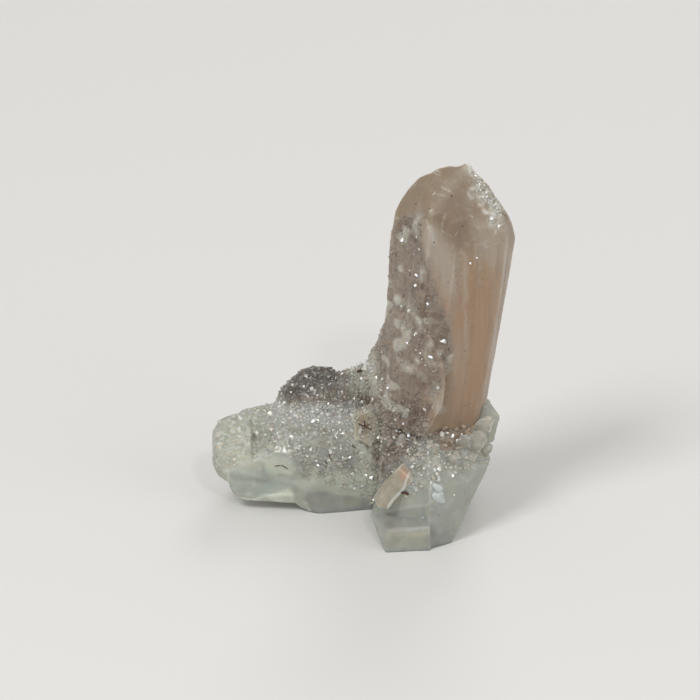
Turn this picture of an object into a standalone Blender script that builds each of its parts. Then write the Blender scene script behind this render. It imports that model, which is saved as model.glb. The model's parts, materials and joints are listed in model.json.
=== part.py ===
"""Stilbite specimen: an upright bladed crystal grown on a pale glassy base, all one solid.

Metres, +Z up, the front faces -Y. The origin is under the middle of the specimen's box, on the
surface that it stands on. Corner lists are in millimetres, measured from a point on the ground
near the joint of blade and base, and place_on_origin moves the finished solid to the origin.
Every form is a convex crystal body, given by its corners. The bodies overlap where they have
grown into each other, and one union turns them into a single closed solid.
"""

import math
import random

import bmesh
import bpy
from mathutils import Matrix, Vector
from mathutils.bvhtree import BVHTree

MM = 0.001
NODE = "stilbite_specimen"
SEED = 22

# Colours (linear RGB), roughness of each material

PEACH = ("stilbite_peach", (0.42, 0.27, 0.18, 1.0), 0.42)
GLASSY = ("pale_glassy_base", (0.38, 0.39, 0.31, 1.0), 0.22)
MAUVE = ("mauve_druse", (0.26, 0.20, 0.17, 1.0), 0.55)

# Blade: rings up its length (height, centre x, centre y, width, depth)

BLADE_RINGS = (
    (3.0, 8.2, 0.6, 12.5, 8.8),
    (18.0, 9.6, 0.4, 14.4, 9.4),
    (31.0, 10.95, 0.2, 15.7, 9.8),
    (42.0, 12.0, 0.2, 16.8, 9.4),
)
BLADE_LEAN = 0.101
# Corners of a ring, as shares of its width and depth, anticlockwise from the left corner
BLADE_CORNERS = (
    (-0.50, 0.06),
    (-0.17, -0.50),
    (0.42, -0.33),
    (0.50, -0.10),
    (0.43, 0.36),
    (0.02, 0.50),
    (-0.40, 0.34),
)
# Corners of the tip, from the left shoulder over the apex to the right shoulder
BLADE_TIP = (
    (3.9, 1.0, 45.0),
    (4.6, 1.0, 46.8),
    (5.9, 1.0, 48.6),
    (7.2, 1.0, 50.4),
    (9.2, 1.0, 51.5),
    (12.9, 1.2, 52.6),
    (14.1, 1.1, 52.5),
    (15.2, 0.9, 51.3),
    (17.0, 0.5, 49.2),
    (18.3, 0.0, 47.2),
    (20.0, -0.6, 44.2),
    (9.0, -4.5, 47.7),
    (19.0, -2.9, 43.7),
    (8.5, 4.6, 46.4),
    (17.6, 4.0, 43.5),
)
# Parallel plates that the blade is built from: right edge from the blade's middle, shift to the
# back, drop of the tip, turn about the length in degrees. The outer plates are open towards their
# sides, and turn about a point no further from the middle than PLATE_REACH
PLATES = (
    (-5.2, 0.10, 0.00, 2.0),
    (-3.4, -0.20, -0.10, -3.0),
    (-1.4, 0.05, 0.05, 2.0),
    (0.1, -0.25, 0.30, -4.0),
    (1.4, 0.10, -0.05, 3.0),
    (2.9, -0.15, 0.20, -4.0),
    (4.0, 0.15, 0.00, 4.0),
    (5.6, -0.15, 0.20, -3.0),
    (6.9, 0.10, -0.05, 3.0),
    (12.0, 0.25, 0.05, -3.0),
)
FIRST_PLATE_EDGE = -9.5
PLATE_OVERLAP = 0.12
PLATE_REACH = 7.0

# Base: the pale arm to the left, the lump in front to the right, and the core below the blade

ARM_LOWER = (
    (-18.1, 0.8, 3.4), (-17.4, 0.5, 2.2), (-15.8, 0.3, 1.5), (-10.6, 0.0, 1.3), (-5.0, -0.2, 1.2),
    (8.0, 0.6, 1.2),
    (-18.6, -0.2, 6.9), (-15.8, -0.3, 7.9), (-13.3, -0.1, 8.6), (-4.0, -0.9, 8.4), (4.0, -1.0, 8.6),
    (-18.4, 8.2, 9.6), (-17.8, 8.8, 3.4), (-8.0, 10.0, 1.2), (8.0, 9.2, 1.2),
    (8.0, 9.4, 9.5), (-8.0, 10.6, 8.0),
)
ARM_FOOT = (
    (-9.6, 0.0, 1.6), (-8.4, 0.0, 0.5), (-6.0, -0.5, -0.3), (0.3, 0.5, -0.3), (4.0, 1.0, -0.3),
    (-9.0, 0.2, 5.0), (-6.0, -0.5, 5.6), (4.0, 0.2, 5.4), (-9.0, 9.6, 1.0), (-7.0, 9.2, -0.3),
    (8.0, 8.6, -0.3), (-9.0, 9.8, 4.0), (8.0, 9.2, 5.0),
)
ARM_UPPER = (
    (-12.6, 0.5, 8.2), (-6.0, -0.7, 7.4), (0.5, -1.3, 7.6), (4.5, -2.0, 8.5),
    (-11.2, 3.1, 11.2), (-5.5, 2.4, 11.5), (1.0, 1.6, 12.4), (4.5, 0.0, 13.5),
    (-17.0, 8.0, 11.5), (-12.5, 8.5, 12.4), (-3.0, 9.0, 12.6), (4.5, 8.0, 13.2),
    (-15.5, 10.4, 8.6), (-3.0, 11.2, 8.8), (4.5, 10.0, 9.0),
)
END_BLOCK = (
    (-19.7, 1.0, 4.9), (-18.5, 0.7, 4.2), (-15.4, -0.4, 6.8), (-20.4, 1.5, 6.4),
    (-20.3, 1.0, 9.3), (-19.2, -0.3, 9.5), (-15.0, -0.4, 10.4), (-20.4, 4.0, 10.6),
    (-19.7, 6.0, 10.9), (-18.1, 7.0, 11.5), (-15.3, 7.4, 12.0), (-20.2, 5.5, 5.2),
    (-18.6, 8.4, 6.0), (-15.0, 8.0, 6.0),
)
CORE = (
    (2.2, -3.8, 4.5), (2.4, -5.2, 9.5), (9.0, -6.6, 10.2), (13.4, -6.0, 8.0), (16.2, -3.8, 9.4),
    (17.0, -1.0, 12.0), (16.8, 3.2, 10.0), (3.2, -3.8, 14.5), (15.2, -3.6, 14.6), (2.0, 6.0, 15.5),
    (14.6, 5.6, 15.0), (5.0, 3.0, -0.3), (13.4, 2.4, -0.3), (14.6, 7.2, -0.3), (5.0, 9.2, -0.3),
    (2.0, 8.8, 8.0), (14.8, 8.2, 7.0),
)
# Blocks on the back, where the specimen broke from its pocket
BACK_BLOCKS = (
    ((-14.0, 7.4, 2.2), (-5.0, 7.4, 1.0), (-13.4, 10.2, 3.0), (-6.4, 11.4, 1.9), (-12.6, 10.6, 8.0),
     (-7.4, 11.6, 6.6), (-12.4, 8.2, 10.2), (-5.6, 9.0, 9.6)),
    ((-4.6, 7.6, 0.8), (5.4, 7.2, 0.8), (-2.6, 11.4, 3.2), (3.6, 10.8, 2.6), (-3.2, 10.8, 10.0),
     (2.8, 10.0, 12.6), (-2.0, 7.6, 13.4), (4.6, 6.8, 14.6)),
    ((6.4, 6.4, 3.4), (13.6, 5.6, 2.0), (7.4, 9.4, 5.0), (12.8, 8.2, 3.4), (5.6, 7.6, 13.6),
     (10.6, 7.0, 16.0), (14.2, 6.2, 9.6), (8.8, 4.6, 17.4)),
)
LUMP_RIGHT = (
    (8.6, -10.3, -0.3), (11.9, -8.7, -0.3), (12.6, -3.0, -0.3), (8.0, -2.4, -0.3),
    (8.8, -9.4, 8.4), (14.0, -7.4, 8.8), (16.9, -4.1, 9.3), (17.3, -3.0, 10.0), (16.9, -2.2, 11.4),
    (9.4, -6.2, 12.0), (7.0, -3.0, 11.0),
)
LUMP_STEP = (
    (3.0, -11.2, -0.3), (9.1, -10.6, -0.3), (3.1, -11.4, 3.7), (9.0, -11.2, 4.0),
    (0.9, -6.3, 3.3), (2.0, -9.0, 1.1), (1.6, -3.0, 3.9), (9.3, -3.0, 4.2), (4.0, -2.6, -0.3),
    (9.3, -2.6, -0.3),
)
LUMP_LEFT = (
    (2.2, -6.6, 3.2), (5.4, -8.6, 3.2), (9.6, -9.0, 3.4), (3.0, -6.2, 8.6), (6.2, -8.2, 9.0),
    (9.6, -8.4, 9.4), (3.0, -2.8, 10.6), (9.6, -3.0, 11.8), (2.2, -2.6, 3.0), (9.6, -2.6, 3.0),
)

# Small separate forms on the base, each given by its corners

BUMP = (
    (-12.0, 8.6, 12.8), (-10.9, 8.4, 14.7), (-9.4, 7.0, 15.8), (-8.0, 5.8, 12.8), (-6.4, 5.4, 14.6),
    (-8.0, 8.4, 17.6), (-5.8, 8.8, 18.0), (-3.8, 8.2, 17.5), (-3.2, 5.5, 14.2), (-1.4, 6.6, 16.2),
    (-10.8, 10.2, 14.0), (-8.6, 10.8, 15.8), (-5.6, 11.2, 16.0), (-2.6, 10.6, 15.4),
    (-9.6, 10.8, 10.6), (-3.0, 11.2, 10.4), (-9.0, 5.0, 11.0), (-2.0, 4.4, 11.4),
)
WALL = (
    (-3.6, 4.6, 11.6), (3.6, 2.8, 12.0), (-3.2, 6.2, 17.6), (-1.1, 6.6, 18.8), (1.0, 6.4, 19.3),
    (3.6, 5.2, 21.6), (-3.4, 8.8, 16.6), (0.6, 8.8, 17.8), (3.6, 7.6, 20.0), (3.6, 9.0, 12.0),
    (-3.4, 10.0, 12.0),
)
BROWN_BLOCK = (
    (-1.3, 0.7, 14.4), (1.9, 0.4, 15.9), (2.9, -0.6, 12.6), (0.9, -1.5, 10.9), (-1.2, -0.9, 11.8),
    (-1.4, 3.4, 13.8), (2.0, 3.2, 15.4), (3.2, 3.0, 11.4), (-0.8, 3.2, 10.6),
)
FLANK_SWELL = (
    (0.3, 3.9, 20.9), (1.0, 1.8, 19.6), (2.0, 1.0, 25.6), (2.7, 0.8, 28.4), (3.6, -1.6, 22.0),
    (3.0, -3.4, 15.0), (8.4, -5.6, 14.2), (8.0, -5.2, 22.0), (1.4, 0.2, 15.8), (1.0, 5.2, 17.0),
    (4.0, 4.6, 26.0), (6.0, 1.0, 33.0), (9.2, -5.2, 29.5), (4.0, -1.2, 31.5), (11.2, -4.9, 24.5),
    (11.0, -5.2, 19.5),
)
SALMON_CRYSTAL = (
    (6.3, -5.6, 11.2), (7.6, -6.6, 10.2), (7.8, -8.2, 9.4), (3.9, -9.4, 5.0), (2.3, -9.0, 5.2),
    (1.6, -7.6, 6.1), (3.0, -7.0, 8.4), (5.6, -6.6, 10.9), (4.6, -5.4, 5.6), (7.4, -5.4, 8.6),
)
RIGHT_SPUR = (
    (16.2, -1.8, 17.6), (16.9, 0.4, 17.4), (18.5, -1.2, 15.3), (17.9, 1.0, 13.6), (17.2, -1.4, 12.6),
    (17.7, -1.2, 11.3), (16.6, 2.2, 10.6), (14.4, -2.4, 11.0), (14.6, 1.6, 17.0), (14.2, -2.8, 15.0),
)
# Clear bladed crystals at the blade's right foot: foot, tip, width and thickness of each
CLEAR_BLADES = (
    ((12.6, -3.6, 10.6), (14.0, -6.0, 15.0), 2.4, 1.1),
    ((14.2, -2.6, 10.8), (15.6, -5.2, 14.4), 2.2, 1.2),
    ((14.6, -2.2, 12.6), (17.2, -3.6, 16.2), 2.0, 1.0),
    ((11.0, -4.2, 9.4), (12.4, -7.0, 12.4), 2.2, 1.1),
    ((15.4, -2.0, 9.4), (17.2, -4.2, 12.6), 1.8, 1.0),
    ((9.0, -4.6, 11.0), (10.0, -6.6, 14.0), 1.9, 0.9),
)

# Druse: small crystals over a region, which rays along `look` find from outside.
# Each has an outline in the two axes across `look`, the spacing of its crystals, and their
# smallest and largest size.

DRUSE = (
    ("flank", "y", (
        (3.2, 27.0), (4.6, 38.0), (5.2, 45.0), (6.6, 44.0), (7.8, 38.0), (9.4, 32.0), (10.8, 26.0),
        (10.8, 19.0), (8.4, 14.0), (3.0, 12.5), (1.8, 17.0),
    ), 1.8, (1.5, 2.4)),
    ("junction", "y", (
        (1.0, 7.0), (1.2, 13.0), (4.0, 17.0), (9.8, 16.0), (11.0, 12.0), (9.6, 8.6), (5.0, 6.6),
    ), 1.9, (1.7, 2.6)),
    ("arm_top", "z", (
        (-13.0, 1.6), (-16.5, 8.5), (-4.0, 9.5), (1.6, 6.0), (1.6, 0.0), (-6.0, 0.4),
    ), 2.1, (1.7, 2.7)),
    ("arm_front", "y", (
        (-12.0, 7.6), (-9.6, 9.8), (1.0, 9.6), (1.0, 6.0), (-5.0, 5.2),
    ), 2.4, (1.6, 2.4)),
    ("bump_front", "y", (
        (-10.8, 13.2), (-8.0, 17.0), (-5.8, 17.6), (-2.4, 16.4), (-2.4, 12.8), (-8.0, 12.2),
    ), 1.65, (1.4, 2.1)),
    ("bump_top", "z", (
        (-10.0, 8.0), (-6.0, 6.6), (-2.0, 8.0), (-4.0, 11.0), (-9.0, 11.0),
    ), 2.0, (1.5, 2.2)),
    ("wall_front", "y", ((-1.8, 13.5), (-1.6, 17.4), (2.4, 19.4), (2.4, 16.5)), 1.7, (1.3, 2.0)),
    ("wall_top", "z", ((-2.6, 6.2), (3.0, 5.0), (3.0, 7.4), (-2.6, 8.6)), 1.2, (0.9, 1.5)),
    ("back_foot", "-y", (
        (-15.0, 8.0), (-4.0, 15.0), (2.0, 19.0), (10.0, 18.0), (14.0, 12.0), (4.0, 10.0), (-6.0, 6.0),
    ), 2.6, (2.0, 3.2)),
    ("back_blade", "-y", ((3.4, 18.0), (4.4, 33.0), (7.0, 30.0), (9.0, 18.0)), 2.5, (1.7, 2.6)),
    ("end_block", "y", ((-19.6, 6.0), (-19.6, 9.0), (-15.8, 9.8), (-15.8, 7.4)), 2.2, (1.4, 2.0)),
)
DRUSE_SINK = 0.55
DRUSE_TILT = 0.22
DRUSE_TRIES = 400
BLADED_SHARE = 0.2
# Smallest and largest share of a small crystal's size: a blocky one's half width, how flat it is,
# its height and its shoulder, then a bladed one's half width, half thickness and height
BLOCKY = {"half": (0.36, 0.5), "flat": (0.6, 1.0), "height": (0.75, 1.0), "shoulder": (0.62, 0.9)}
BLOCKY_TAPER = (0.8, 1.0)
BLADED = {"half": (0.30, 0.42), "flat": (0.14, 0.22), "height": (1.0, 1.3)}
BLADED_SHOULDER = 0.7
BLADED_RIDGE = 0.25
FOOT_DEPTH = 0.1

# Clear blades: share of the length up to the shoulder, the tip's place across, spin between two
CLEAR_SHOULDER = 0.8
CLEAR_TIP = 0.12
CLEAR_SPIN = 0.3

# The ground block that cuts the flat foot, and the distance from which rays look for the surface
GROUND_SPAN = 80.0
RAY_START = 60.0


def hull(corners):
    """A closed convex body around the corners, as a bmesh in metres."""
    body = bmesh.new()
    for corner in corners:
        body.verts.new(Vector(corner) * MM)
    result = bmesh.ops.convex_hull(body, input=body.verts)
    inside = [part for part in result["geom_interior"] if isinstance(part, bmesh.types.BMVert)]
    bmesh.ops.delete(body, geom=inside, context="VERTS")
    bmesh.ops.recalc_face_normals(body, faces=body.faces)
    return body


def add_body(group, body, name, material):
    """Puts a bmesh into the scene as one more body of the union."""
    mesh = bpy.data.meshes.new(name)
    body.to_mesh(mesh)
    body.free()
    mesh.materials.append(material)
    item = bpy.data.objects.new(name, mesh)
    group.objects.link(item)
    return item


def make_material(look):
    """A material from its name, colour and roughness."""
    name, colour, roughness = look
    material = bpy.data.materials.new(name)
    material.use_nodes = True
    shader = material.node_tree.nodes["Principled BSDF"]
    shader.inputs["Base Color"].default_value = colour
    shader.inputs["Roughness"].default_value = roughness
    shader.inputs["Metallic"].default_value = 0.0
    material.diffuse_color = colour
    return material


def blade_corners():
    """All corners of the blade: its rings up the length, then the tip."""
    corners = []
    for height, centre_x, centre_y, width, depth in BLADE_RINGS:
        for across, along in BLADE_CORNERS:
            corners.append((centre_x + across * width, centre_y + along * depth, height))
    corners.extend(BLADE_TIP)
    return corners


def blade_plate(low_edge, plate):
    """One plate of the blade: the blade's own form, shifted and turned a little and cut to a slab."""
    high_edge, shift_y, drop, turn = plate
    foot_height, foot_x, foot_y = BLADE_RINGS[0][:3]
    lengthwise = Vector((BLADE_LEAN, 0.0, 1.0)).normalized()
    across = 0.5 * (max(low_edge, -PLATE_REACH) + min(high_edge, PLATE_REACH))
    centre = Vector((foot_x + across, foot_y, foot_height))
    turn = Matrix.Rotation(math.radians(turn), 3, lengthwise)
    offset = centre + Vector((0.0, shift_y, -drop))
    plate = hull([turn @ (Vector(corner) - centre) + offset for corner in blade_corners()])
    normal = Vector((1.0, 0.0, -BLADE_LEAN)).normalized()
    low = low_edge - PLATE_OVERLAP
    high = high_edge + PLATE_OVERLAP
    for edge, side in ((low, -1.0), (high, 1.0)):
        point = Vector((foot_x + edge, 0.0, foot_height)) * MM
        geometry = plate.verts[:] + plate.edges[:] + plate.faces[:]
        bmesh.ops.bisect_plane(plate, geom=geometry, plane_co=point, plane_no=normal * side, clear_outer=True)
    corners = [tuple(vert.co / MM) for vert in plate.verts]
    plate.free()
    return hull(corners)


def blocky_crystal(size, rng):
    """Corners of a short four-sided crystal with a low, uneven pyramid, standing on Z."""
    half = size * rng.uniform(*BLOCKY["half"])
    flat = half * rng.uniform(*BLOCKY["flat"])
    height = size * rng.uniform(*BLOCKY["height"])
    corners = []
    for side_x, side_y in ((-1, -1), (1, -1), (1, 1), (-1, 1)):
        corners.append((side_x * half, side_y * flat, -FOOT_DEPTH * size))
        shoulder = height * rng.uniform(*BLOCKY["shoulder"])
        corners.append((side_x * half * rng.uniform(*BLOCKY_TAPER), side_y * flat, shoulder))
    corners.append((rng.uniform(-0.5, 0.5) * half, rng.uniform(-0.5, 0.5) * flat, height))
    return corners


def bladed_crystal(size, rng):
    """Corners of a flat crystal with a pointed dome, standing on Z."""
    half = size * rng.uniform(*BLADED["half"])
    flat = size * rng.uniform(*BLADED["flat"])
    height = size * rng.uniform(*BLADED["height"])
    corners = []
    for level in (-FOOT_DEPTH * size, height * BLADED_SHOULDER):
        for side_x, side_y in ((-1, -0.5), (0, -1), (1, -0.5), (1, 0.5), (0, 1), (-1, 0.5)):
            corners.append((side_x * half, side_y * flat, level))
    corners.append((half * BLADED_RIDGE, 0.0, height))
    corners.append((-half * BLADED_RIDGE, 0.0, height))
    return corners


def turned(corners, axis, spin, place):
    """Corners turned so that Z follows the axis, spun about it and moved to the place."""
    turn = axis.to_track_quat("Z", "Y").to_matrix() @ Matrix.Rotation(spin, 3, "Z")
    return [tuple(turn @ Vector(corner) + place) for corner in corners]


def inside_outline(outline, u, v):
    """Whether a point lies inside an outline."""
    inside = False
    for (u0, v0), (u1, v1) in zip(outline, outline[1:] + outline[:1]):
        if (v0 > v) != (v1 > v) and u < (u1 - u0) * (v - v0) / (v1 - v0) + u0:
            inside = not inside
    return inside


def random_point(outline, rng):
    """A random point inside an outline."""
    us = [point[0] for point in outline]
    vs = [point[1] for point in outline]
    while True:
        u = rng.uniform(min(us), max(us))
        v = rng.uniform(min(vs), max(vs))
        if inside_outline(outline, u, v):
            return u, v


def ray(look, u, v):
    """Start and direction of the ray that finds the surface from outside."""
    if look == "y":
        return Vector((u, -RAY_START, v)), Vector((0.0, 1.0, 0.0))
    if look == "-y":
        return Vector((u, RAY_START, v)), Vector((0.0, -1.0, 0.0))
    return Vector((u, v, RAY_START)), Vector((0.0, 0.0, -1.0))


def add_druse(group, surface, zone, material, rng):
    """Small crystals over one region of the grown-together forms, none closer than the spacing."""
    name, look, outline, spacing, (small, large) = zone
    places = []
    for _ in range(DRUSE_TRIES):
        u, v = random_point(outline, rng)
        start, direction = ray(look, u, v)
        point, normal, _, _ = surface.ray_cast(start * MM, direction)
        if point is None or any((point / MM - other).length < spacing for other in places):
            continue
        places.append(point / MM)
        size = rng.uniform(small, large)
        tilt = Vector([rng.uniform(-DRUSE_TILT, DRUSE_TILT) for _ in range(3)])
        axis = (normal + tilt).normalized()
        spin = rng.uniform(0.0, math.tau)
        make = bladed_crystal if rng.random() < BLADED_SHARE else blocky_crystal
        corners = turned(make(size, rng), axis, spin, places[-1] - axis * size * DRUSE_SINK)
        add_body(group, hull(corners), f"{name}_{len(places)}", material)


def add_clear_blade(group, number, blade, material):
    """One flat crystal from its foot to its tip."""
    foot, tip, width, thickness = blade
    foot, tip = Vector(foot), Vector(tip)
    length = (tip - foot).length
    corners = []
    for level in (0.0, length * CLEAR_SHOULDER):
        for side_x, side_y in ((-0.5, 0.0), (-0.3, -0.5), (0.3, -0.5), (0.5, 0.0), (0.3, 0.5), (-0.3, 0.5)):
            corners.append((side_x * width, side_y * thickness, level))
    corners.append((CLEAR_TIP * width, 0.0, length))
    axis = (tip - foot).normalized()
    body = hull(turned(corners, axis, CLEAR_SPIN * number, foot))
    add_body(group, body, f"clear_blade_{number}", material)


def joined_mesh(group):
    """One mesh that holds every body of the group, for ray casting."""
    whole = bmesh.new()
    for item in group.objects:
        whole.from_mesh(item.data)
    return whole


def united(group):
    """The union of all bodies of the group, cut off flat on the ground, as one mesh."""
    seed = group.objects[0]
    group.objects.unlink(seed)
    bpy.context.scene.collection.objects.link(seed)
    union = seed.modifiers.new("grown_together", "BOOLEAN")
    union.operation = "UNION"
    union.operand_type = "COLLECTION"
    union.collection = group
    union.solver = "MANIFOLD"
    ground = bmesh.new()
    bmesh.ops.create_cube(ground, size=GROUND_SPAN * MM)
    bmesh.ops.translate(ground, verts=ground.verts, vec=(0.0, 0.0, -0.5 * GROUND_SPAN * MM))
    ground_mesh = bpy.data.meshes.new("ground")
    ground.to_mesh(ground_mesh)
    ground.free()
    ground_block = bpy.data.objects.new("ground", ground_mesh)
    bpy.context.scene.collection.objects.link(ground_block)
    cut = seed.modifiers.new("flat_foot", "BOOLEAN")
    cut.operation = "DIFFERENCE"
    cut.object = ground_block
    cut.solver = "MANIFOLD"
    bpy.context.view_layer.update()
    depsgraph = bpy.context.evaluated_depsgraph_get()
    mesh = bpy.data.meshes.new_from_object(seed.evaluated_get(depsgraph))
    for item in list(group.objects) + [seed, ground_block]:
        bpy.data.objects.remove(item)
    bpy.data.collections.remove(group)
    return mesh


def cleaned(mesh):
    """Keeps the largest closed body of the mesh: the union can leave loose crumbs inside it."""
    whole = bmesh.new()
    whole.from_mesh(mesh)
    waiting = set(whole.verts)
    largest = set()
    while waiting:
        island = set()
        front = [waiting.pop()]
        while front:
            vert = front.pop()
            island.add(vert)
            waiting.discard(vert)
            neighbours = [edge.other_vert(vert) for edge in vert.link_edges]
            front.extend(neighbour for neighbour in neighbours if neighbour in waiting)
        largest = max(largest, island, key=len)
    crumbs = [vert for vert in whole.verts if vert not in largest]
    bmesh.ops.delete(whole, geom=crumbs, context="VERTS")
    bmesh.ops.triangulate(whole, faces=whole.faces)
    whole.to_mesh(mesh)
    whole.free()


def place_on_origin(mesh):
    """Moves the mesh so that the origin is under the middle of its box."""
    low = Vector([min(vert.co[axis] for vert in mesh.vertices) for axis in range(3)])
    high = Vector([max(vert.co[axis] for vert in mesh.vertices) for axis in range(3)])
    middle = (low + high) / 2.0
    mesh.transform(Matrix.Translation((-middle.x, -middle.y, -low.z)))


def main():
    """Builds the specimen in an empty scene."""
    for item in list(bpy.data.objects):
        bpy.data.objects.remove(item)
    rng = random.Random(SEED)
    peach, glassy, mauve = (make_material(look) for look in (PEACH, GLASSY, MAUVE))
    group = bpy.data.collections.new("bodies")
    bpy.context.scene.collection.children.link(group)

    low_edge = FIRST_PLATE_EDGE
    for number, plate in enumerate(PLATES):
        add_body(group, blade_plate(low_edge, plate), f"plate_{number}", peach)
        low_edge = plate[0]
    glassy_forms = {
        "arm_lower": ARM_LOWER, "arm_foot": ARM_FOOT, "arm_upper": ARM_UPPER, "end_block": END_BLOCK,
        "core": CORE, "lump_right": LUMP_RIGHT, "lump_step": LUMP_STEP, "lump_left": LUMP_LEFT,
    }
    for name, corners in glassy_forms.items():
        add_body(group, hull(corners), name, glassy)
    for name, corners in (("bump", BUMP), ("wall", WALL), ("flank_swell", FLANK_SWELL)):
        add_body(group, hull(corners), name, mauve)
    for number, corners in enumerate(BACK_BLOCKS):
        add_body(group, hull(corners), f"back_block_{number}", glassy)

    bodies = joined_mesh(group)
    surface = BVHTree.FromBMesh(bodies)
    for zone in DRUSE:
        add_druse(group, surface, zone, mauve, rng)
    bodies.free()

    add_body(group, hull(BROWN_BLOCK), "brown_block", mauve)
    add_body(group, hull(RIGHT_SPUR), "right_spur", mauve)
    add_body(group, hull(SALMON_CRYSTAL), "salmon_crystal", peach)
    for number, blade in enumerate(CLEAR_BLADES):
        add_clear_blade(group, number, blade, glassy)

    mesh = united(group)
    cleaned(mesh)
    place_on_origin(mesh)
    mesh.name = NODE
    specimen = bpy.data.objects.new(NODE, mesh)
    bpy.context.scene.collection.objects.link(specimen)


main()
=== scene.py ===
"""Stilbite specimen, dressed: a peach blade with a drusy flank on a pale glassy base.

Lengths in the lists are in millimetres, in the CAD part's own frame before it was moved to its
origin, and SHIFT brings them to the frame. The blade and the base are closed bodies, each grown
together from convex crystals, so that light passes through each as through one crystal. The
small crystals of the druse grow on the outer skin of both.
"""

import json
import math

import bmesh
import bpy
import numpy as np
from bpy.props import FloatProperty, FloatVectorProperty, IntProperty, PointerProperty
from mathutils import Matrix, Vector
from mathutils.bvhtree import BVHTree

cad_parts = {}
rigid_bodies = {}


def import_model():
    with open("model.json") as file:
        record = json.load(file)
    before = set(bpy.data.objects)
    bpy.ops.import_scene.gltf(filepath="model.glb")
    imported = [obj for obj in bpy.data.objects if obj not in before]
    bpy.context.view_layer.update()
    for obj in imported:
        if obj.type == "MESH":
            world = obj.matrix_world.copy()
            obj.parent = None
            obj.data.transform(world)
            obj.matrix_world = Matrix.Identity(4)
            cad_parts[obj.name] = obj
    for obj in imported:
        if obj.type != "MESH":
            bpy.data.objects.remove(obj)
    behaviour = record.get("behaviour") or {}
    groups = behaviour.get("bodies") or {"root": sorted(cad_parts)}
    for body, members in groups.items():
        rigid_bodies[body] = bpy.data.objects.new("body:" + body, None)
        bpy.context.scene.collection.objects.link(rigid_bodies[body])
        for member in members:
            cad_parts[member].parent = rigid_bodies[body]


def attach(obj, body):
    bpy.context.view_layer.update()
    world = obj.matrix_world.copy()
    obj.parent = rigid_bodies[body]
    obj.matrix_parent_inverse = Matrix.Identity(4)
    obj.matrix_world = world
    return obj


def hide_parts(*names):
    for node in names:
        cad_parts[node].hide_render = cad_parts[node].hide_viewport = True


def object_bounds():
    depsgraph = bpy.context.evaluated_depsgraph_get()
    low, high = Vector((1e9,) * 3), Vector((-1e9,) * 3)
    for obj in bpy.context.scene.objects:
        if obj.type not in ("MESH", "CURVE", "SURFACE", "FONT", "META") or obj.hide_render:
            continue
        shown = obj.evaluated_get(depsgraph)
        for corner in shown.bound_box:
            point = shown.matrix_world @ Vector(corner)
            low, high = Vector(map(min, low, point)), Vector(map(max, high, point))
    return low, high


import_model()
CAD_LOW, CAD_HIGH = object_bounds()

bl_info = {
    "name": "Stilbite specimen",
    "version": (1, 0, 0),
    "blender": (4, 5, 0),
    "location": "View3D > Sidebar > Specimen",
    "description": "A peach stilbite blade on a glassy, drusy base, built around its CAD solid",
    "category": "Add Mesh",
}

MM = 0.001
NODE = "stilbite_specimen"
BODY = "root"

# Blade: rings up its length (height, centre x, centre y, width, depth), then its tip

BLADE_RINGS = (
    (3.0, 8.2, 0.6, 12.5, 8.8),
    (18.0, 9.6, 0.4, 14.4, 9.4),
    (31.0, 10.95, 0.2, 15.7, 9.8),
    (42.0, 12.0, 0.2, 16.8, 9.4),
)
BLADE_LEAN = 0.101
BLADE_CORNERS = (
    (-0.50, 0.06),
    (-0.17, -0.50),
    (0.42, -0.33),
    (0.50, -0.10),
    (0.43, 0.36),
    (0.02, 0.50),
    (-0.40, 0.34),
)
BLADE_TIP = (
    (3.9, 1.0, 45.0), (4.6, 1.0, 46.8), (5.9, 1.0, 48.6), (7.2, 1.0, 50.4), (9.2, 1.0, 51.5),
    (12.9, 1.2, 52.6), (14.1, 1.1, 52.5), (15.2, 0.9, 51.3), (17.0, 0.5, 49.2), (18.3, 0.0, 47.2),
    (20.0, -0.6, 44.2), (9.0, -4.5, 47.7), (19.0, -2.9, 43.7), (8.5, 4.6, 46.4), (17.6, 4.0, 43.5),
)
# Parallel plates of the blade: right edge, shift to the back, drop of the tip, turn in degrees
PLATES = (
    (-5.2, 0.10, 0.00, 2.0),
    (-3.4, -0.20, -0.10, -3.0),
    (-1.4, 0.05, 0.05, 2.0),
    (0.1, -0.25, 0.30, -4.0),
    (1.4, 0.10, -0.05, 3.0),
    (2.9, -0.15, 0.20, -4.0),
    (4.0, 0.15, 0.00, 4.0),
    (5.6, -0.15, 0.20, -3.0),
    (6.9, 0.10, -0.05, 3.0),
    (12.0, 0.25, 0.05, -3.0),
)
FIRST_PLATE_EDGE = -9.5
PLATE_OVERLAP = 0.12
PLATE_REACH = 7.0

# Glassy base: the lower arm, its foot and end, the core, the back and the lump in front

ARM_LOWER = (
    (-18.1, 0.8, 3.4), (-17.4, 0.5, 2.2), (-15.8, 0.3, 1.5), (-10.6, 0.0, 1.3), (-5.0, -0.2, 1.2),
    (8.0, 0.6, 1.2),
    (-18.6, -0.2, 6.9), (-15.8, -0.3, 7.9), (-13.3, -0.1, 8.6), (-4.0, -0.9, 8.4), (4.0, -1.0, 8.6),
    (-18.4, 8.2, 9.6), (-17.8, 8.8, 3.4), (-8.0, 10.0, 1.2), (8.0, 9.2, 1.2),
    (8.0, 9.4, 9.5), (-8.0, 10.6, 8.0),
)
ARM_FOOT = (
    (-9.6, 0.0, 1.6), (-8.4, 0.0, 0.5), (-6.0, -0.5, -0.3), (0.3, 0.5, -0.3), (4.0, 1.0, -0.3),
    (-9.0, 0.2, 5.0), (-6.0, -0.5, 5.6), (4.0, 0.2, 5.4), (-9.0, 9.6, 1.0), (-7.0, 9.2, -0.3),
    (8.0, 8.6, -0.3), (-9.0, 9.8, 4.0), (8.0, 9.2, 5.0),
)
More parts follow.
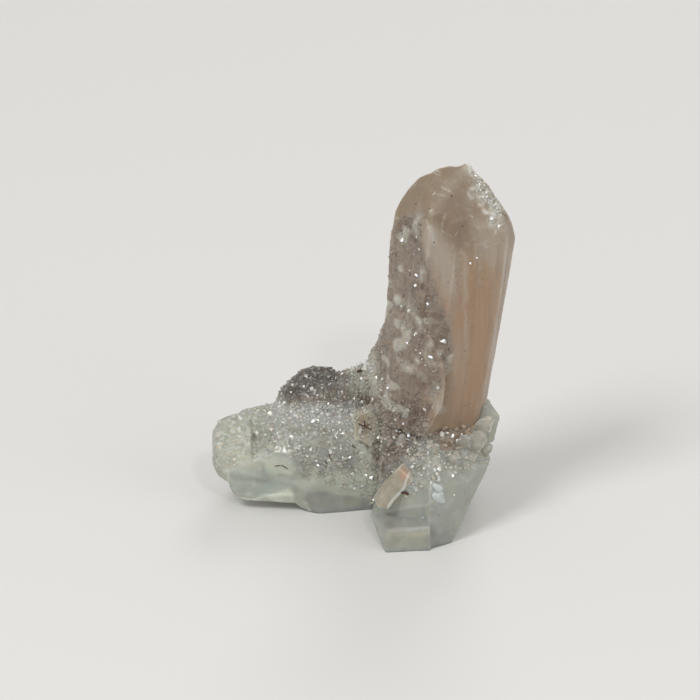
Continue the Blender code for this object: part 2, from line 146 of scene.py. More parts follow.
END_BLOCK = (
    (-19.7, 1.0, 4.9), (-18.5, 0.7, 4.2), (-15.4, -0.4, 6.8), (-20.4, 1.5, 6.4),
    (-20.3, 1.0, 9.3), (-19.2, -0.3, 9.5), (-15.0, -0.4, 10.4), (-20.4, 4.0, 10.6),
    (-19.7, 6.0, 10.9), (-18.1, 7.0, 11.5), (-15.3, 7.4, 12.0), (-20.2, 5.5, 5.2),
    (-18.6, 8.4, 6.0), (-15.0, 8.0, 6.0),
)
CORE = (
    (2.2, -3.8, 4.5), (2.4, -5.2, 9.5), (9.0, -6.6, 10.2), (13.4, -6.0, 8.0), (16.2, -3.8, 9.4),
    (17.0, -1.0, 12.0), (16.8, 3.2, 10.0), (3.2, -3.8, 14.5), (15.2, -3.6, 14.6), (2.0, 6.0, 15.5),
    (14.6, 5.6, 15.0), (5.0, 3.0, -0.3), (13.4, 2.4, -0.3), (14.6, 7.2, -0.3), (5.0, 9.2, -0.3),
    (2.0, 8.8, 8.0), (14.8, 8.2, 7.0),
)
BACK_BLOCKS = (
    ((-14.0, 7.4, 2.2), (-5.0, 7.4, 1.0), (-13.4, 10.2, 3.0), (-6.4, 11.4, 1.9), (-12.6, 10.6, 8.0),
     (-7.4, 11.6, 6.6), (-12.4, 8.2, 10.2), (-5.6, 9.0, 9.6)),
    ((-4.6, 7.6, 0.8), (5.4, 7.2, 0.8), (-2.6, 11.4, 3.2), (3.6, 10.8, 2.6), (-3.2, 10.8, 10.0),
     (2.8, 10.0, 12.6), (-2.0, 7.6, 13.4), (4.6, 6.8, 14.6)),
    ((6.4, 6.4, 3.4), (13.6, 5.6, 2.0), (7.4, 9.4, 5.0), (12.8, 8.2, 3.4), (5.6, 7.6, 13.6),
     (10.6, 7.0, 16.0), (14.2, 6.2, 9.6), (8.8, 4.6, 17.4)),
)
LUMP_RIGHT = (
    (8.6, -10.3, -0.3), (11.9, -8.7, -0.3), (12.6, -3.0, -0.3), (8.0, -2.4, -0.3),
    (8.8, -9.4, 8.4), (14.0, -7.4, 8.8), (16.9, -4.1, 9.3), (17.3, -3.0, 10.0), (16.9, -2.2, 11.4),
    (9.4, -6.2, 12.0), (7.0, -3.0, 11.0),
)
LUMP_STEP = (
    (3.0, -11.2, -0.3), (9.1, -10.6, -0.3), (3.1, -11.4, 3.7), (9.0, -11.2, 4.0),
    (0.9, -6.3, 3.3), (2.0, -9.0, 1.1), (1.6, -3.0, 3.9), (9.3, -3.0, 4.2), (4.0, -2.6, -0.3),
    (9.3, -2.6, -0.3),
)
LUMP_LEFT = (
    (2.2, -6.6, 3.2), (5.4, -8.6, 3.2), (9.6, -9.0, 3.4), (3.0, -6.2, 8.6), (6.2, -8.2, 9.0),
    (9.6, -8.4, 9.4), (3.0, -2.8, 10.6), (9.6, -3.0, 11.8), (2.2, -2.6, 3.0), (9.6, -2.6, 3.0),
)

# Drusy crust: the upper arm, the bump, the thin wall and the swelling of the blade's left flank

ARM_UPPER = (
    (-12.6, 0.5, 8.2), (-6.0, -0.7, 7.4), (0.5, -1.3, 7.6), (4.5, -2.0, 8.5),
    (-11.2, 3.1, 11.2), (-5.5, 2.4, 11.5), (1.0, 1.6, 12.4), (4.5, 0.0, 13.5),
    (-17.0, 8.0, 11.5), (-12.5, 8.5, 12.4), (-3.0, 9.0, 12.6), (4.5, 8.0, 13.2),
    (-15.5, 10.4, 8.6), (-3.0, 11.2, 8.8), (4.5, 10.0, 9.0),
)
BUMP = (
    (-12.0, 8.6, 12.8), (-10.9, 8.4, 14.7), (-9.4, 7.0, 15.8), (-8.0, 5.8, 12.8), (-6.4, 5.4, 14.6),
    (-8.0, 8.4, 17.6), (-5.8, 8.8, 18.0), (-3.8, 8.2, 17.5), (-3.2, 5.5, 14.2), (-1.4, 6.6, 16.2),
    (-10.8, 10.2, 14.0), (-8.6, 10.8, 15.8), (-5.6, 11.2, 16.0), (-2.6, 10.6, 15.4),
    (-9.6, 10.8, 10.6), (-3.0, 11.2, 10.4), (-9.0, 5.0, 11.0), (-2.0, 4.4, 11.4),
)
WALL = (
    (-3.6, 4.6, 11.6), (3.6, 2.8, 12.0), (-3.2, 6.2, 17.6), (-1.1, 6.6, 18.8), (1.0, 6.4, 19.3),
    (3.6, 5.2, 21.6), (-3.4, 8.8, 16.6), (0.6, 8.8, 17.8), (3.6, 7.6, 20.0), (3.6, 9.0, 12.0),
    (-3.4, 10.0, 12.0),
)
FLANK_SWELL = (
    (0.3, 3.9, 20.9), (1.0, 1.8, 19.6), (2.0, 1.0, 25.6), (2.7, 0.8, 28.4), (3.6, -1.6, 22.0),
    (3.0, -3.4, 15.0), (8.4, -5.6, 14.2), (8.0, -5.2, 22.0), (1.4, 0.2, 15.8), (1.0, 5.2, 17.0),
    (4.0, 4.6, 26.0), (6.0, 1.0, 33.0), (9.2, -5.2, 29.5), (4.0, -1.2, 31.5), (11.2, -4.9, 24.5),
    (11.0, -5.2, 19.5),
)
BROWN_BLOCK = (
    (-1.3, 0.7, 14.4), (1.9, 0.4, 15.9), (2.9, -0.6, 12.6), (0.9, -1.5, 10.9), (-1.2, -0.9, 11.8),
    (-1.4, 3.4, 13.8), (2.0, 3.2, 15.4), (3.2, 3.0, 11.4), (-0.8, 3.2, 10.6),
)
RIGHT_SPUR = (
    (16.2, -1.8, 17.6), (16.9, 0.4, 17.4), (18.5, -1.2, 15.3), (17.9, 1.0, 13.6), (17.2, -1.4, 12.6),
    (17.7, -1.2, 11.3), (16.6, 2.2, 10.6), (14.4, -2.4, 11.0), (14.6, 1.6, 17.0), (14.2, -2.8, 15.0),
)
SALMON_CRYSTAL = (
    (6.3, -5.6, 11.2), (7.6, -6.6, 10.2), (7.8, -8.2, 9.4), (3.9, -9.4, 5.0), (2.3, -9.0, 5.2),
    (1.6, -7.6, 6.1), (3.0, -7.0, 8.4), (5.6, -6.6, 10.9), (4.6, -5.4, 5.6), (7.4, -5.4, 8.6),
)
# Clear blades at the right foot of the peach blade: foot, tip, width and thickness of each
CLEAR_BLADES = (
    ((12.6, -3.6, 10.6), (14.0, -6.0, 15.0), 2.4, 1.1),
    ((14.2, -2.6, 10.8), (15.6, -5.2, 14.4), 2.2, 1.2),
    ((14.6, -2.2, 12.6), (17.2, -3.6, 16.2), 2.0, 1.0),
    ((11.0, -4.2, 9.4), (12.4, -7.0, 12.4), 2.2, 1.1),
    ((15.4, -2.0, 9.4), (17.2, -4.2, 12.6), 1.8, 1.0),
    ((9.0, -4.6, 11.0), (10.0, -6.6, 14.0), 1.9, 0.9),
)

# From the lists to the frame, whose box ends on the end block at the left and the step in front
SHIFT = np.array((
    CAD_LOW.x / MM - min(corner[0] for corner in END_BLOCK),
    CAD_LOW.y / MM - min(corner[1] for corner in LUMP_STEP),
    0.0,
))

# The photograph: size of a pixel on the specimen, the pixel of the origin, the camera's height

PHOTO_PIXEL = 0.134
PHOTO_ZERO = (362.7, 511.5)
CAMERA_HEIGHT = math.radians(28.0)
# A ray starts this far in front of the specimen, and searches this many pixels round its own
RAY_START = 100.0
NEAR_PIXELS = 16


def screen(red, green, blue):
    """A colour given as it shows on a screen, 0 to 255, as the linear colour that shaders use."""
    shares = [value / 255.0 for value in (red, green, blue)]
    return tuple(share / 12.92 if share < 0.04045 else ((share + 0.055) / 1.055) ** 2.4 for share in shares)


# Sizes and colours that a user may change


def colour_property(name, description, default):
    return FloatVectorProperty(
        name=name, description=description, default=default, subtype="COLOR", size=3, min=0.0, max=1.0
    )


def length_property(name, description, default):
    """A length whose default is given in millimetres."""
    return FloatProperty(
        name=name, description=description, default=default * MM, min=0.0, subtype="DISTANCE",
        unit="LENGTH", precision=5,
    )


class SPECIMEN_PG_blade(bpy.types.PropertyGroup):
    """Sizes and colours of the peach blade."""

    grain: length_property("Grain", "Size of the blade's surface cells", 0.195)
    groove: length_property("Groove depth", "Depth of the grooves along the blade", 0.07)
    unevenness: length_property("Unevenness", "Height of the slow swellings of the faces", 0.13)
    peach: colour_property("Peach", "Colour of the striated face", screen(175, 153, 131))
    orange: colour_property("Orange", "Colour of the deepest streaks", screen(170, 138, 108))
    milky: colour_property("Milky", "Colour of the whitish streaks", screen(186, 176, 163))
    tan: colour_property("Tan", "Colour of the tip", screen(159, 141, 119))
    umber: colour_property("Umber", "Colour of the tip's brownish patch", screen(138, 117, 99))
    rosy: colour_property("Rosy", "Colour of the pinkish streaks", screen(172, 142, 124))
    flank: colour_property("Flank", "Colour under the druse of the left flank", screen(172, 160, 146))


class SPECIMEN_PG_base(bpy.types.PropertyGroup):
    """Sizes and colours of the glassy base."""

    grain: length_property("Grain", "Size of the base's surface cells", 0.2)
    unevenness: length_property("Unevenness", "Height of the slow swellings of the faces", 0.11)
    green: colour_property("Green", "Colour of the glassy body", screen(217, 220, 210))
    blue: colour_property("Blue", "Colour of the clearest part of the arm", screen(212, 220, 214))
    yellow: colour_property("Yellow", "Colour of the palest bands", screen(235, 236, 220))
    # Also painted, partly as shade, on the lump's downward face
    grey: colour_property("Grey", "Colour of the darker bands", screen(205, 208, 200))


class SPECIMEN_PG_druse(bpy.types.PropertyGroup):
    """Sizes and colours of the druse."""

    skin_grain: length_property("Skin grain", "Cell size of the skin on which the druse grows", 0.3)
    fine_spacing: length_property("Fine spacing", "Distance between the smallest crystals", 0.52)
    coarse_spacing: length_property("Coarse spacing", "Distance between the larger crystals", 1.25)
    seed: IntProperty(name="Seed", description="Seed of the small crystals' places", default=22)
    mauve: colour_property("Mauve", "Colour of the flank's druse", screen(150, 134, 121))
    brown: colour_property("Brown", "Colour of its darkest places", screen(116, 96, 80))
    # Also painted as highlights on the blade's and the brown block's edges
    pale: colour_property("Pale", "Colour of the arm's druse", screen(234, 234, 221))
    bump: colour_property("Bump", "Colour of the bump's grey druse", screen(130, 125, 118))
    # Also the colour of painted glints, sparkle, highlight rims and edge highlights
    white: colour_property("White", "Colour of the whitest crystals", screen(238, 238, 232))
    amber: colour_property("Amber", "Colour where the blade ends in the druse", screen(172, 146, 120))


class SPECIMEN_PG_details(bpy.types.PropertyGroup):
    """Sizes and colours of the small crystals and inclusions."""

    needle: length_property("Needle width", "Thickness of the dark needles", 0.15)
    speck: length_property("Speck size", "Radius of the dark specks", 0.1)
    glint: length_property("Glint size", "Width of a bright crystal", 0.62)
    cell: length_property("Cell", "Surface cell size of the small crystals", 0.13)
    salmon: colour_property("Salmon", "Colour of the small salmon blade", screen(184, 177, 160))
    tip_spot: colour_property("Salmon spot", "Colour of the salmon blade's tip", screen(214, 178, 152))
    block: colour_property("Block", "Colour of the small brownish block", screen(172, 160, 138))
    clear: colour_property("Clear", "Colour of the clear crystals", screen(236, 232, 222))
    dark: colour_property("Dark", "Colour of needles and specks", screen(76, 52, 40))
    veil: colour_property("Veil", "Colour of the white veil in the lump", screen(204, 211, 210))


class SPECIMEN_PG_stage(bpy.types.PropertyGroup):
    """Floor, lamps and camera."""

    floor_colour: colour_property("Floor", "Colour of the floor", screen(222, 221, 218))
    floor_radius: FloatProperty(
        name="Floor radius", description="Radius of the round floor", default=3.0, min=0.5,
        subtype="DISTANCE", unit="LENGTH",
    )
    daylight: FloatProperty(
        name="Daylight", description="Strength of the light from all round", default=0.5, min=0.0
    )
    key_power: FloatProperty(
        name="Key lamp", description="Power of the main soft lamp", default=2.6, min=0.0, unit="POWER"
    )
    fill_power: FloatProperty(
        name="Fill lamp", description="Power of the fill lamp", default=0.9, min=0.0, unit="POWER"
    )
    glint_power: FloatProperty(
        name="Glint lamp", description="Power of the small bright lamp", default=0.5, min=0.0, unit="POWER"
    )
    lens: FloatProperty(name="Lens", description="Focal length", default=400.0, min=20.0, unit="CAMERA")


# Shapes: convex bodies, grown together into one closed surface


def hull(corners):
    """Vertices and faces of the closed convex body around the corners."""
    body = bmesh.new()
    for corner in corners:
        body.verts.new(Vector(corner))
    result = bmesh.ops.convex_hull(body, input=body.verts)
    inside = [part for part in result["geom_interior"] if isinstance(part, bmesh.types.BMVert)]
    bmesh.ops.delete(body, geom=inside, context="VERTS")
    bmesh.ops.recalc_face_normals(body, faces=body.faces)
    body.verts.ensure_lookup_table()
    body.verts.index_update()
    verts = [tuple(vert.co) for vert in body.verts]
    faces = [tuple(vert.index for vert in face.verts) for face in body.faces]
    body.free()
    return verts, faces


def moved(corners):
    """A corner list in the frame, still in millimetres."""
    return [tuple(np.array(corner) + SHIFT) for corner in corners]


def joined(bodies):
    """One vertex list and face list from several."""
    verts, faces = [], []
    for body_verts, body_faces in bodies:
        start = len(verts)
        verts.extend(body_verts)
        faces.extend(tuple(index + start for index in face) for face in body_faces)
    return verts, faces


def remove_with_mesh(item):
    mesh = item.data
    bpy.data.objects.remove(item)
    bpy.data.meshes.remove(mesh)


def new_mesh(name, verts, faces):
    mesh = bpy.data.meshes.new(name)
    mesh.from_pydata(verts, [], faces)
    mesh.update()
    return mesh


def grown_together(name, bodies, cell):
    """The outer surface of overlapping bodies as one closed mesh of even cells, in millimetres."""
    verts, faces = joined(bodies)
    rough = bpy.data.objects.new(name, new_mesh(name, verts, faces))
    bpy.context.scene.collection.objects.link(rough)
    remesh = rough.modifiers.new("cells", "REMESH")
    remesh.mode = "VOXEL"
    remesh.voxel_size = cell / MM
    remesh.use_smooth_shade = True
    bpy.context.view_layer.update()
    depsgraph = bpy.context.evaluated_depsgraph_get()
    mesh = bpy.data.meshes.new_from_object(rough.evaluated_get(depsgraph))
    remove_with_mesh(rough)
    mesh.name = name
    return mesh


def points_of(mesh):
    points = np.empty(len(mesh.vertices) * 3)
    mesh.vertices.foreach_get("co", points)
    return points.reshape(-1, 3)


def normals_of(mesh):
    normals = np.empty(len(mesh.vertices) * 3)
    mesh.vertex_normals.foreach_get("vector", normals)
    return normals.reshape(-1, 3)


def set_points(mesh, points):
    mesh.vertices.foreach_set("co", points.ravel())
    mesh.update()


def set_tint(mesh, tint):
    """Stores a colour for each vertex, which the materials read as the attribute tint."""
    layer = mesh.color_attributes.get("tint") or mesh.color_attributes.new("tint", "FLOAT_COLOR", "POINT")
    values = np.ones((len(tint), 4))
    values[:, :3] = tint
    layer.data.foreach_set("color", values.ravel())


def set_value(mesh, name, values):
    layer = mesh.attributes.get(name) or mesh.attributes.new(name, "FLOAT", "POINT")
    layer.data.foreach_set("value", np.asarray(values, float))


def smoothed(mesh, values, rounds):
    """Values of the vertices, averaged over their neighbours a few times."""
    ends = np.empty(len(mesh.edges) * 2, int)
    mesh.edges.foreach_get("vertices", ends)
    first, second = ends[0::2], ends[1::2]
    neighbours = np.bincount(ends, minlength=len(values))[:, None]
    for _ in range(rounds):
        total = np.zeros_like(values)
        for axis in range(values.shape[1]):
            total[:, axis] = np.bincount(first, values[second, axis], len(values))
            total[:, axis] += np.bincount(second, values[first, axis], len(values))
        values = 0.5 * values + 0.5 * total / neighbours
    return values


def edge_share(mesh, rounds=6, low=0.012, high=0.05):
    """1 on the body's outer edges and 0 on its faces and in its hollows."""
    points = points_of(mesh)
    stands_out = np.einsum("ij,ij->i", points - smoothed(mesh, points, rounds), normals_of(mesh))
    return smooth_step(low, high, stands_out)


def finished(mesh, material):
    """Turns a mesh in millimetres into a piece of the specimen in metres."""
    mesh.transform(Matrix.Scale(MM, 4))
    mesh.materials.clear()
    mesh.materials.append(material)
    piece = bpy.data.objects.new(mesh.name, mesh)
    bpy.context.scene.collection.objects.link(piece)
    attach(piece, BODY)
    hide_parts(NODE)
    return piece


# Noise over points in millimetres


def cell_value(cells, seed):
    """An even random number from 0 to 1 for each whole-number cell."""
    mixed = cells[..., 0] * 73856093 ^ cells[..., 1] * 19349663 ^ cells[..., 2] * 83492791 ^ seed * 39916801
    mixed = (mixed ^ (mixed >> 13)) * 1274126177 & 0x7FFFFFFF
    return ((mixed ^ (mixed >> 16)) & 0xFFFF) / 65535.0


def soft_noise(points, size, seed):
    """Smooth noise from -1 to 1 with swellings of about the given size."""
    places = points / size
    cells = np.floor(places).astype(np.int64)
    share = places - cells
    share = share * share * (3.0 - 2.0 * share)
    total = np.zeros(len(points))
    for corner in range(8):
        step = np.array((corner & 1, corner >> 1 & 1, corner >> 2 & 1))
        weight = np.prod(np.where(step == 1, share, 1.0 - share), axis=1)
        total += weight * cell_value(cells + step, seed)
    return total * 2.0 - 1.0


def facets(points, size, seed):
    """Height, about -1 to 1, of flat and tilted facets of about the given size."""
    places = points / size
    home = np.floor(places).astype(np.int64)
    nearest = np.full(len(points), 9.0)
    height = np.zeros(len(points))
    for offset in np.ndindex(3, 3, 3):
        cell = home + np.array(offset) - 1
        centre = cell + np.stack([cell_value(cell, seed + axis) for axis in range(3)], axis=1)
        tilt = np.stack([cell_value(cell, seed + 5 + axis) for axis in range(3)], axis=1) - 0.5
        away = places - centre
        distance = np.sum(away * away, axis=1)
        closer = distance < nearest
        nearest = np.where(closer, distance, nearest)
        level = (cell_value(cell, seed + 9) - 0.5) * 0.6
        height = np.where(closer, 2.0 * np.sum(away * tilt, axis=1) + level, height)
    return height


def smooth_step(low, high, values):
    """0 below the low value, 1 above the high one, and a soft rise between."""
    share = np.clip((values - low) / (high - low), 0.0, 1.0)
    return share * share * (3.0 - 2.0 * share)


# Places given by pixels of the photograph

# The pieces whose surface carries the small things, in the order in which they are made
BODIES = ("peach_blade", "glassy_base")
SMALL_BODIES = ("salmon_crystal", "brown_block")
TOWARDS_CAMERA = np.array((0.0, -math.cos(CAMERA_HEIGHT), math.sin(CAMERA_HEIGHT)))
FAR = 1e9
# How many places a ray tries in one turn round its pixel
TURN_STEPS = 8
# How far, in pixels, and in what swellings, in millimetres, painted outlines wander
WARP = 3.0
WARP_SIZE = 1.6


def seen(points):
    """The photograph's pixel in which each point of the frame appears."""
    across = PHOTO_ZERO[0] + points[:, 0] / PHOTO_PIXEL
    height = points[:, 2] * math.cos(CAMERA_HEIGHT) + points[:, 1] * math.sin(CAMERA_HEIGHT)
    return np.stack((across, PHOTO_ZERO[1] - height / PHOTO_PIXEL), axis=1)


def pixels_away(pixels, start, end):
    """How far each pixel lies from the line between two corners."""
    along = end - start
    share = np.clip(((pixels - start) @ along) / (along @ along), 0.0, 1.0)
    nearest = start + share[:, None] * along
    return np.linalg.norm(pixels - nearest, axis=1)


def inside_share(pixels, outline, blur):
    """1 inside an outline in the photograph and 0 outside, with a soft edge of the given pixels."""
    corners = np.array(outline, float)
    inside = np.zeros(len(pixels), bool)
    distance = np.full(len(pixels), FAR)
    for start, end in zip(corners, np.roll(corners, -1, axis=0)):
        crossing = (start[1] > pixels[:, 1]) != (end[1] > pixels[:, 1])
        rise = end[1] - start[1] or 1e-9
        border = start[0] + (end[0] - start[0]) * (pixels[:, 1] - start[1]) / rise
        inside ^= crossing & (pixels[:, 0] < border)
        distance = np.minimum(distance, pixels_away(pixels, start, end))
    return smooth_step(-blur, blur, np.where(inside, distance, -distance))


def line_share(pixels, path, width):
    """1 along a line through pixels of the photograph, fading to 0 at the given distance from it."""
    corners = np.array(path, float)
    distance = np.full(len(pixels), FAR)
    for start, end in zip(corners[:-1], corners[1:]):
        distance = np.minimum(distance, pixels_away(pixels, start, end))
    return 1.0 - smooth_step(0.3 * width, width, distance)


class Skin:
    """The visible surface of the finished bodies, found from the photograph's camera."""

    def __init__(self, names):
        verts, faces = joined([body_of_mesh(bpy.data.objects[name].data) for name in names])
        self.tree = BVHTree.FromPolygons([Vector(vert) / MM for vert in verts], faces)

    def spot(self, pixel):
        """Point and normal of the surface that shows in a pixel, or else closely beside it."""
        up = np.array((0.0, math.sin(CAMERA_HEIGHT), math.cos(CAMERA_HEIGHT)))
        for step in range(TURN_STEPS * NEAR_PIXELS):
            turns = step / TURN_STEPS
            across = pixel[0] + turns * math.cos(turns * math.tau)
            down = pixel[1] + turns * math.sin(turns * math.tau)
            start = up * (PHOTO_ZERO[1] - down) * PHOTO_PIXEL + TOWARDS_CAMERA * RAY_START
            start[0] += (across - PHOTO_ZERO[0]) * PHOTO_PIXEL
            point, normal, _, _ = self.tree.ray_cast(Vector(start), Vector(-TOWARDS_CAMERA))
            if point is not None:
                return point, normal
        raise RuntimeError(f"no surface shows in pixel {pixel}")


class Paint:
    """Colours of a mesh's vertices, painted zone by zone as the photograph shows them."""

    def __init__(self, mesh, colour, seed):
        self.points = points_of(mesh)
        self.normals = normals_of(mesh)
        warp = [soft_noise(self.points, WARP_SIZE, seed + axis) for axis in range(2)]
        self.pixels = seen(self.points) + WARP * np.stack(warp, axis=1)
        self.facing = smooth_step(-0.25, 0.25, self.normals @ TOWARDS_CAMERA)
        self.tint = np.tile(np.array(colour), (len(self.points), 1))

    def mix(self, colour, share):
        self.tint += (np.array(colour) - self.tint) * np.asarray(share)[:, None]

    def zone(self, colour, outline, blur, strength=1.0):
        """Mixes in a colour inside an outline, on the faces that the photograph shows."""
        self.mix(colour, strength * self.facing * inside_share(self.pixels, outline, blur))

    def zones(self, rows):
        """Mixes in a colour for each row of colour, outline, blur and strength."""
        for row in rows:
            self.zone(*row)

    def patches(self, points, share, rows):
        """Mixes in patches: colour, strength, size in mm, seed, and the noise's lowest and highest."""
        for colour, strength, size, seed, low, high in rows:
            self.mix(colour, strength * share_of_noise(points, size, seed, low, high) * share)

    def line(self, colour, path, width, strength=1.0):
        """Mixes in a colour along a line of the photograph."""
        self.mix(colour, strength * self.facing * line_share(self.pixels, path, width))

    def brighten(self, factor):
        self.tint *= np.asarray(factor)[:, None]


# Zones, as outlines in the photograph's pixels

ORANGE_HEART = (
    (462, 262), (490, 258), (488, 330), (482, 400), (462, 430), (436, 446), (430, 428), (452, 400),
    (460, 340),
)
TIP = (
    (388, 222), (398, 192), (420, 172), (463, 155), (484, 174), (518, 240), (480, 238), (440, 240),
    (420, 230), (404, 220),
)
BROWN_PATCH = ((432, 208), (448, 196), (463, 196), (470, 220), (466, 250), (448, 248), (438, 230))
BELOW_SHOULDER = ((472, 222), (512, 222), (514, 262), (478, 270))
MILKY_STREAK = (
    (418, 234), (428, 222), (440, 234), (455, 262), (458, 290), (446, 298), (436, 276), (424, 262),
)
WHITE_LINE = ((428, 227), (432, 227), (436, 245), (432, 245))
PALE_LINE = ((462, 256), (466, 256), (468, 340), (464, 340))
SHOULDER = (
    (464, 162), (480, 176), (500, 205), (502, 228), (487, 230), (486, 206), (470, 202), (474, 184),
    (460, 170),
)
PALE_RIDGE = ((462, 166), (468, 174), (446, 194), (440, 210), (431, 208), (438, 190))
FLANK = (
    (380, 236), (404, 218), (424, 214), (420, 240), (430, 275), (446, 312), (454, 354), (443, 385),
    (430, 411), (424, 445), (385, 470), (360, 440), (360, 350), (380, 300),
)
FLANK_DARK = (
    (404, 222), (416, 222), (424, 262), (444, 315), (450, 354), (440, 385), (424, 405), (412, 440),
    (385, 475), (376, 455), (392, 410), (408, 360), (412, 320), (410, 270),
)
FLANK_LOW = ((378, 362), (416, 362), (422, 404), (378, 416))
FLANK_SPOT = ((396, 222), (406, 216), (412, 226), (404, 238), (396, 236))
RIGHT_BEVEL = (
    (504, 256), (514, 256), (500, 330), (502, 345), (492, 410), (485, 408), (489, 345), (495, 318),
)
PALE_FIN = ((434, 384), (444, 384), (443, 411), (437, 415), (434, 405))
BLUE_FACE = ((228, 478), (262, 470), (290, 482), (272, 499), (236, 498))
ARM_BAND = ((272, 404), (356, 402), (354, 424), (300, 430), (268, 422))
ARM_BROWN = ((250, 424), (275, 419), (290, 430), (262, 453), (247, 452))
ARM_GREY = ((288, 424), (346, 424), (364, 470), (300, 482), (284, 455))
ARM_WEDGE = ((340, 504), (361, 500), (359, 510), (338, 513))
ARM_DRUSE = (
    (200, 430), (250, 396), (290, 392), (350, 396), (392, 400), (400, 470), (372, 505), (356, 490),
    (330, 488), (300, 478), (285, 446), (262, 460), (226, 472), (204, 468),
)
BUMP_ALL = ((270, 404), (290, 352), (330, 348), (384, 346), (386, 404), (340, 414))
BUMP_GREY = ((272, 396), (290, 356), (328, 354), (345, 370), (332, 388), (300, 396))
BUMP_BROWN = ((284, 394), (332, 386), (380, 388), (372, 402), (340, 412), (288, 410))
WALL_PALE = ((345, 372), (352, 352), (378, 350), (380, 396), (352, 398))
JUNCTION = (
    (376, 430), (392, 402), (432, 404), (428, 436), (410, 452), (400, 480), (380, 488), (370, 462),
)
LUMP_TOP = (
    (372, 470), (400, 445), (450, 440), (492, 440), (488, 462), (440, 480), (400, 500), (370, 500),
)
LUMP_SHADED_FACE = ((374, 516), (385, 511), (430, 501), (431, 522), (392, 531), (376, 530))
LUMP_YELLOW = ((381, 535), (425, 530), (425, 556), (388, 558), (383, 545))
LUMP_SIDE = ((431, 462), (496, 440), (486, 490), (455, 548), (428, 556))
ARM_END = ((212, 430), (224, 418), (250, 410), (258, 440), (254, 462), (222, 470), (211, 450))
FOOT = ((385, 400), (420, 396), (432, 414), (436, 440), (426, 456), (385, 474))
FOOT_LINE = ((446, 438), (464, 428), (486, 430), (484, 450), (450, 454))
VEILS = (
    ((431, 494), (436, 489), (443, 490), (446, 496), (444, 503), (436, 505), (431, 501)),
    ((434, 484), (440, 482), (444, 487), (440, 492), (434, 490)),
)
BLOCK_RING = ((346, 400), (366, 398), (384, 410), (384, 440), (366, 450), (348, 444))
BLADE_END = ((428, 396), (484, 396), (482, 428), (468, 446), (440, 450), (430, 430))
BLOCK_FACE = ((357, 418), (368, 412), (375, 424), (370, 436), (358, 434))
SALMON_SPOT = ((399, 472), (404, 468), (411, 471), (409, 478), (401, 481))

# Lines of the photograph: edges and ridges painted pale as highlights, the crease at the blade's foot,
# streaks and veins

ARM_RIDGE = ((222, 472), (240, 464), (262, 457), (276, 449), (285, 440))
LUMP_EDGE = ((384, 513), (400, 508), (430, 502))
STEP_EDGE = ((392, 532), (410, 529), (426, 527))
LUMP_CORNER = ((430, 502), (428, 530), (426, 552))
LUMP_RIM = ((496, 446), (493, 466), (484, 492), (470, 520), (455, 547))
SALMON_EDGE = ((411, 472), (404, 486), (388, 505))
BLOCK_TOP = ((353, 410), (364, 406), (377, 410))
BLOCK_CURVE = ((350, 440), (362, 438), (372, 432))
BLADE_CREASE = (
    (386, 430), (400, 431), (414, 434), (426, 437), (436, 434), (446, 431), (462, 429), (480, 427),
)
# White sparkle is painted along these steps of the shoulder
SHOULDER_SPARKLE_STEPS = ((466, 164), (476, 180), (471, 200), (486, 204), (500, 208), (496, 226), (486, 214))
RED_STREAKS = (((456, 284), (461, 302)), ((466, 304), (469, 318)), ((444, 300), (447, 318)))
DEEP_STREAKS = (((470, 262), (474, 340), (470, 420)), ((484, 262), (486, 320), (480, 400)))
FLANK_VEINS = (
    ((436, 385), (434, 405), (437, 411), (442, 408)), ((430, 345), (426, 352), (429, 362), (437, 364)),
    ((398, 300), (412, 312), (420, 330)), ((400, 360), (412, 366), (422, 380)),
)


# Shares from 0 to 1 over a surface


def share_of_noise(points, size, seed, low=0.0, high=0.6):
    """1 in the higher patches of soft noise and 0 between them."""
    return smooth_step(low, high, soft_noise(points, size, seed))


def stretched(points, ratio):
    """Points in the blade's own axes, with its length shortened, so that noise becomes streaks."""
    across = points[:, 0] - BLADE_LEAN * points[:, 2]
    return np.stack((across, points[:, 1], points[:, 2] * ratio), axis=1)


def facing_camera(normals):
    """1 on faces that the photograph shows and 0 on those that look away."""
    return smooth_step(-0.1, 0.25, normals @ TOWARDS_CAMERA)


# Materials

CRYSTAL_IOR = 1.5
SHEEN = 0.2
SHEEN_ROUGHNESS = 0.4
# How far red, green and blue light travels below the skin, as shares of the scatter's depth
SCATTER_COLOURS = (1.0, 0.8, 0.6)
RELIEF_DEPTH = 0.1
STREAK_LENGTH_SHARE = 0.05
SPECKLE_SPREAD = 0.24
BLADE_ABSORPTION = ((0.93, 0.8, 0.64), 90.0)
BASE_ABSORPTION = ((0.88, 0.93, 0.82), 90.0)


def node(tree, kind, *inputs, **settings):
    """A node with its properties, and with inputs in their order or, after in_, by their names.

    An input is a plain value, or an output of another node that is linked to it.
    """
    made = tree.nodes.new(kind)
    wanted = dict(enumerate(inputs))
    for name, value in settings.items():
        if name.startswith("in_"):
            wanted[name[3:].replace("_", " ")] = value
        else:
            setattr(made, name, value)
    for socket, value in wanted.items():
        if isinstance(value, bpy.types.NodeSocket):
            tree.links.new(value, made.inputs[socket])
        else:
            made.inputs[socket].default_value = value
    return made


def number_node(tree, operation, *inputs, **settings):
    """The output of a Math node."""
    return node(tree, "ShaderNodeMath", *inputs, operation=operation, **settings).outputs[0]


def vector_node(tree, operation, *inputs, **settings):
    """The output of a Vector Math node."""
    return node(tree, "ShaderNodeVectorMath", *inputs, operation=operation, **settings).outputs[0]


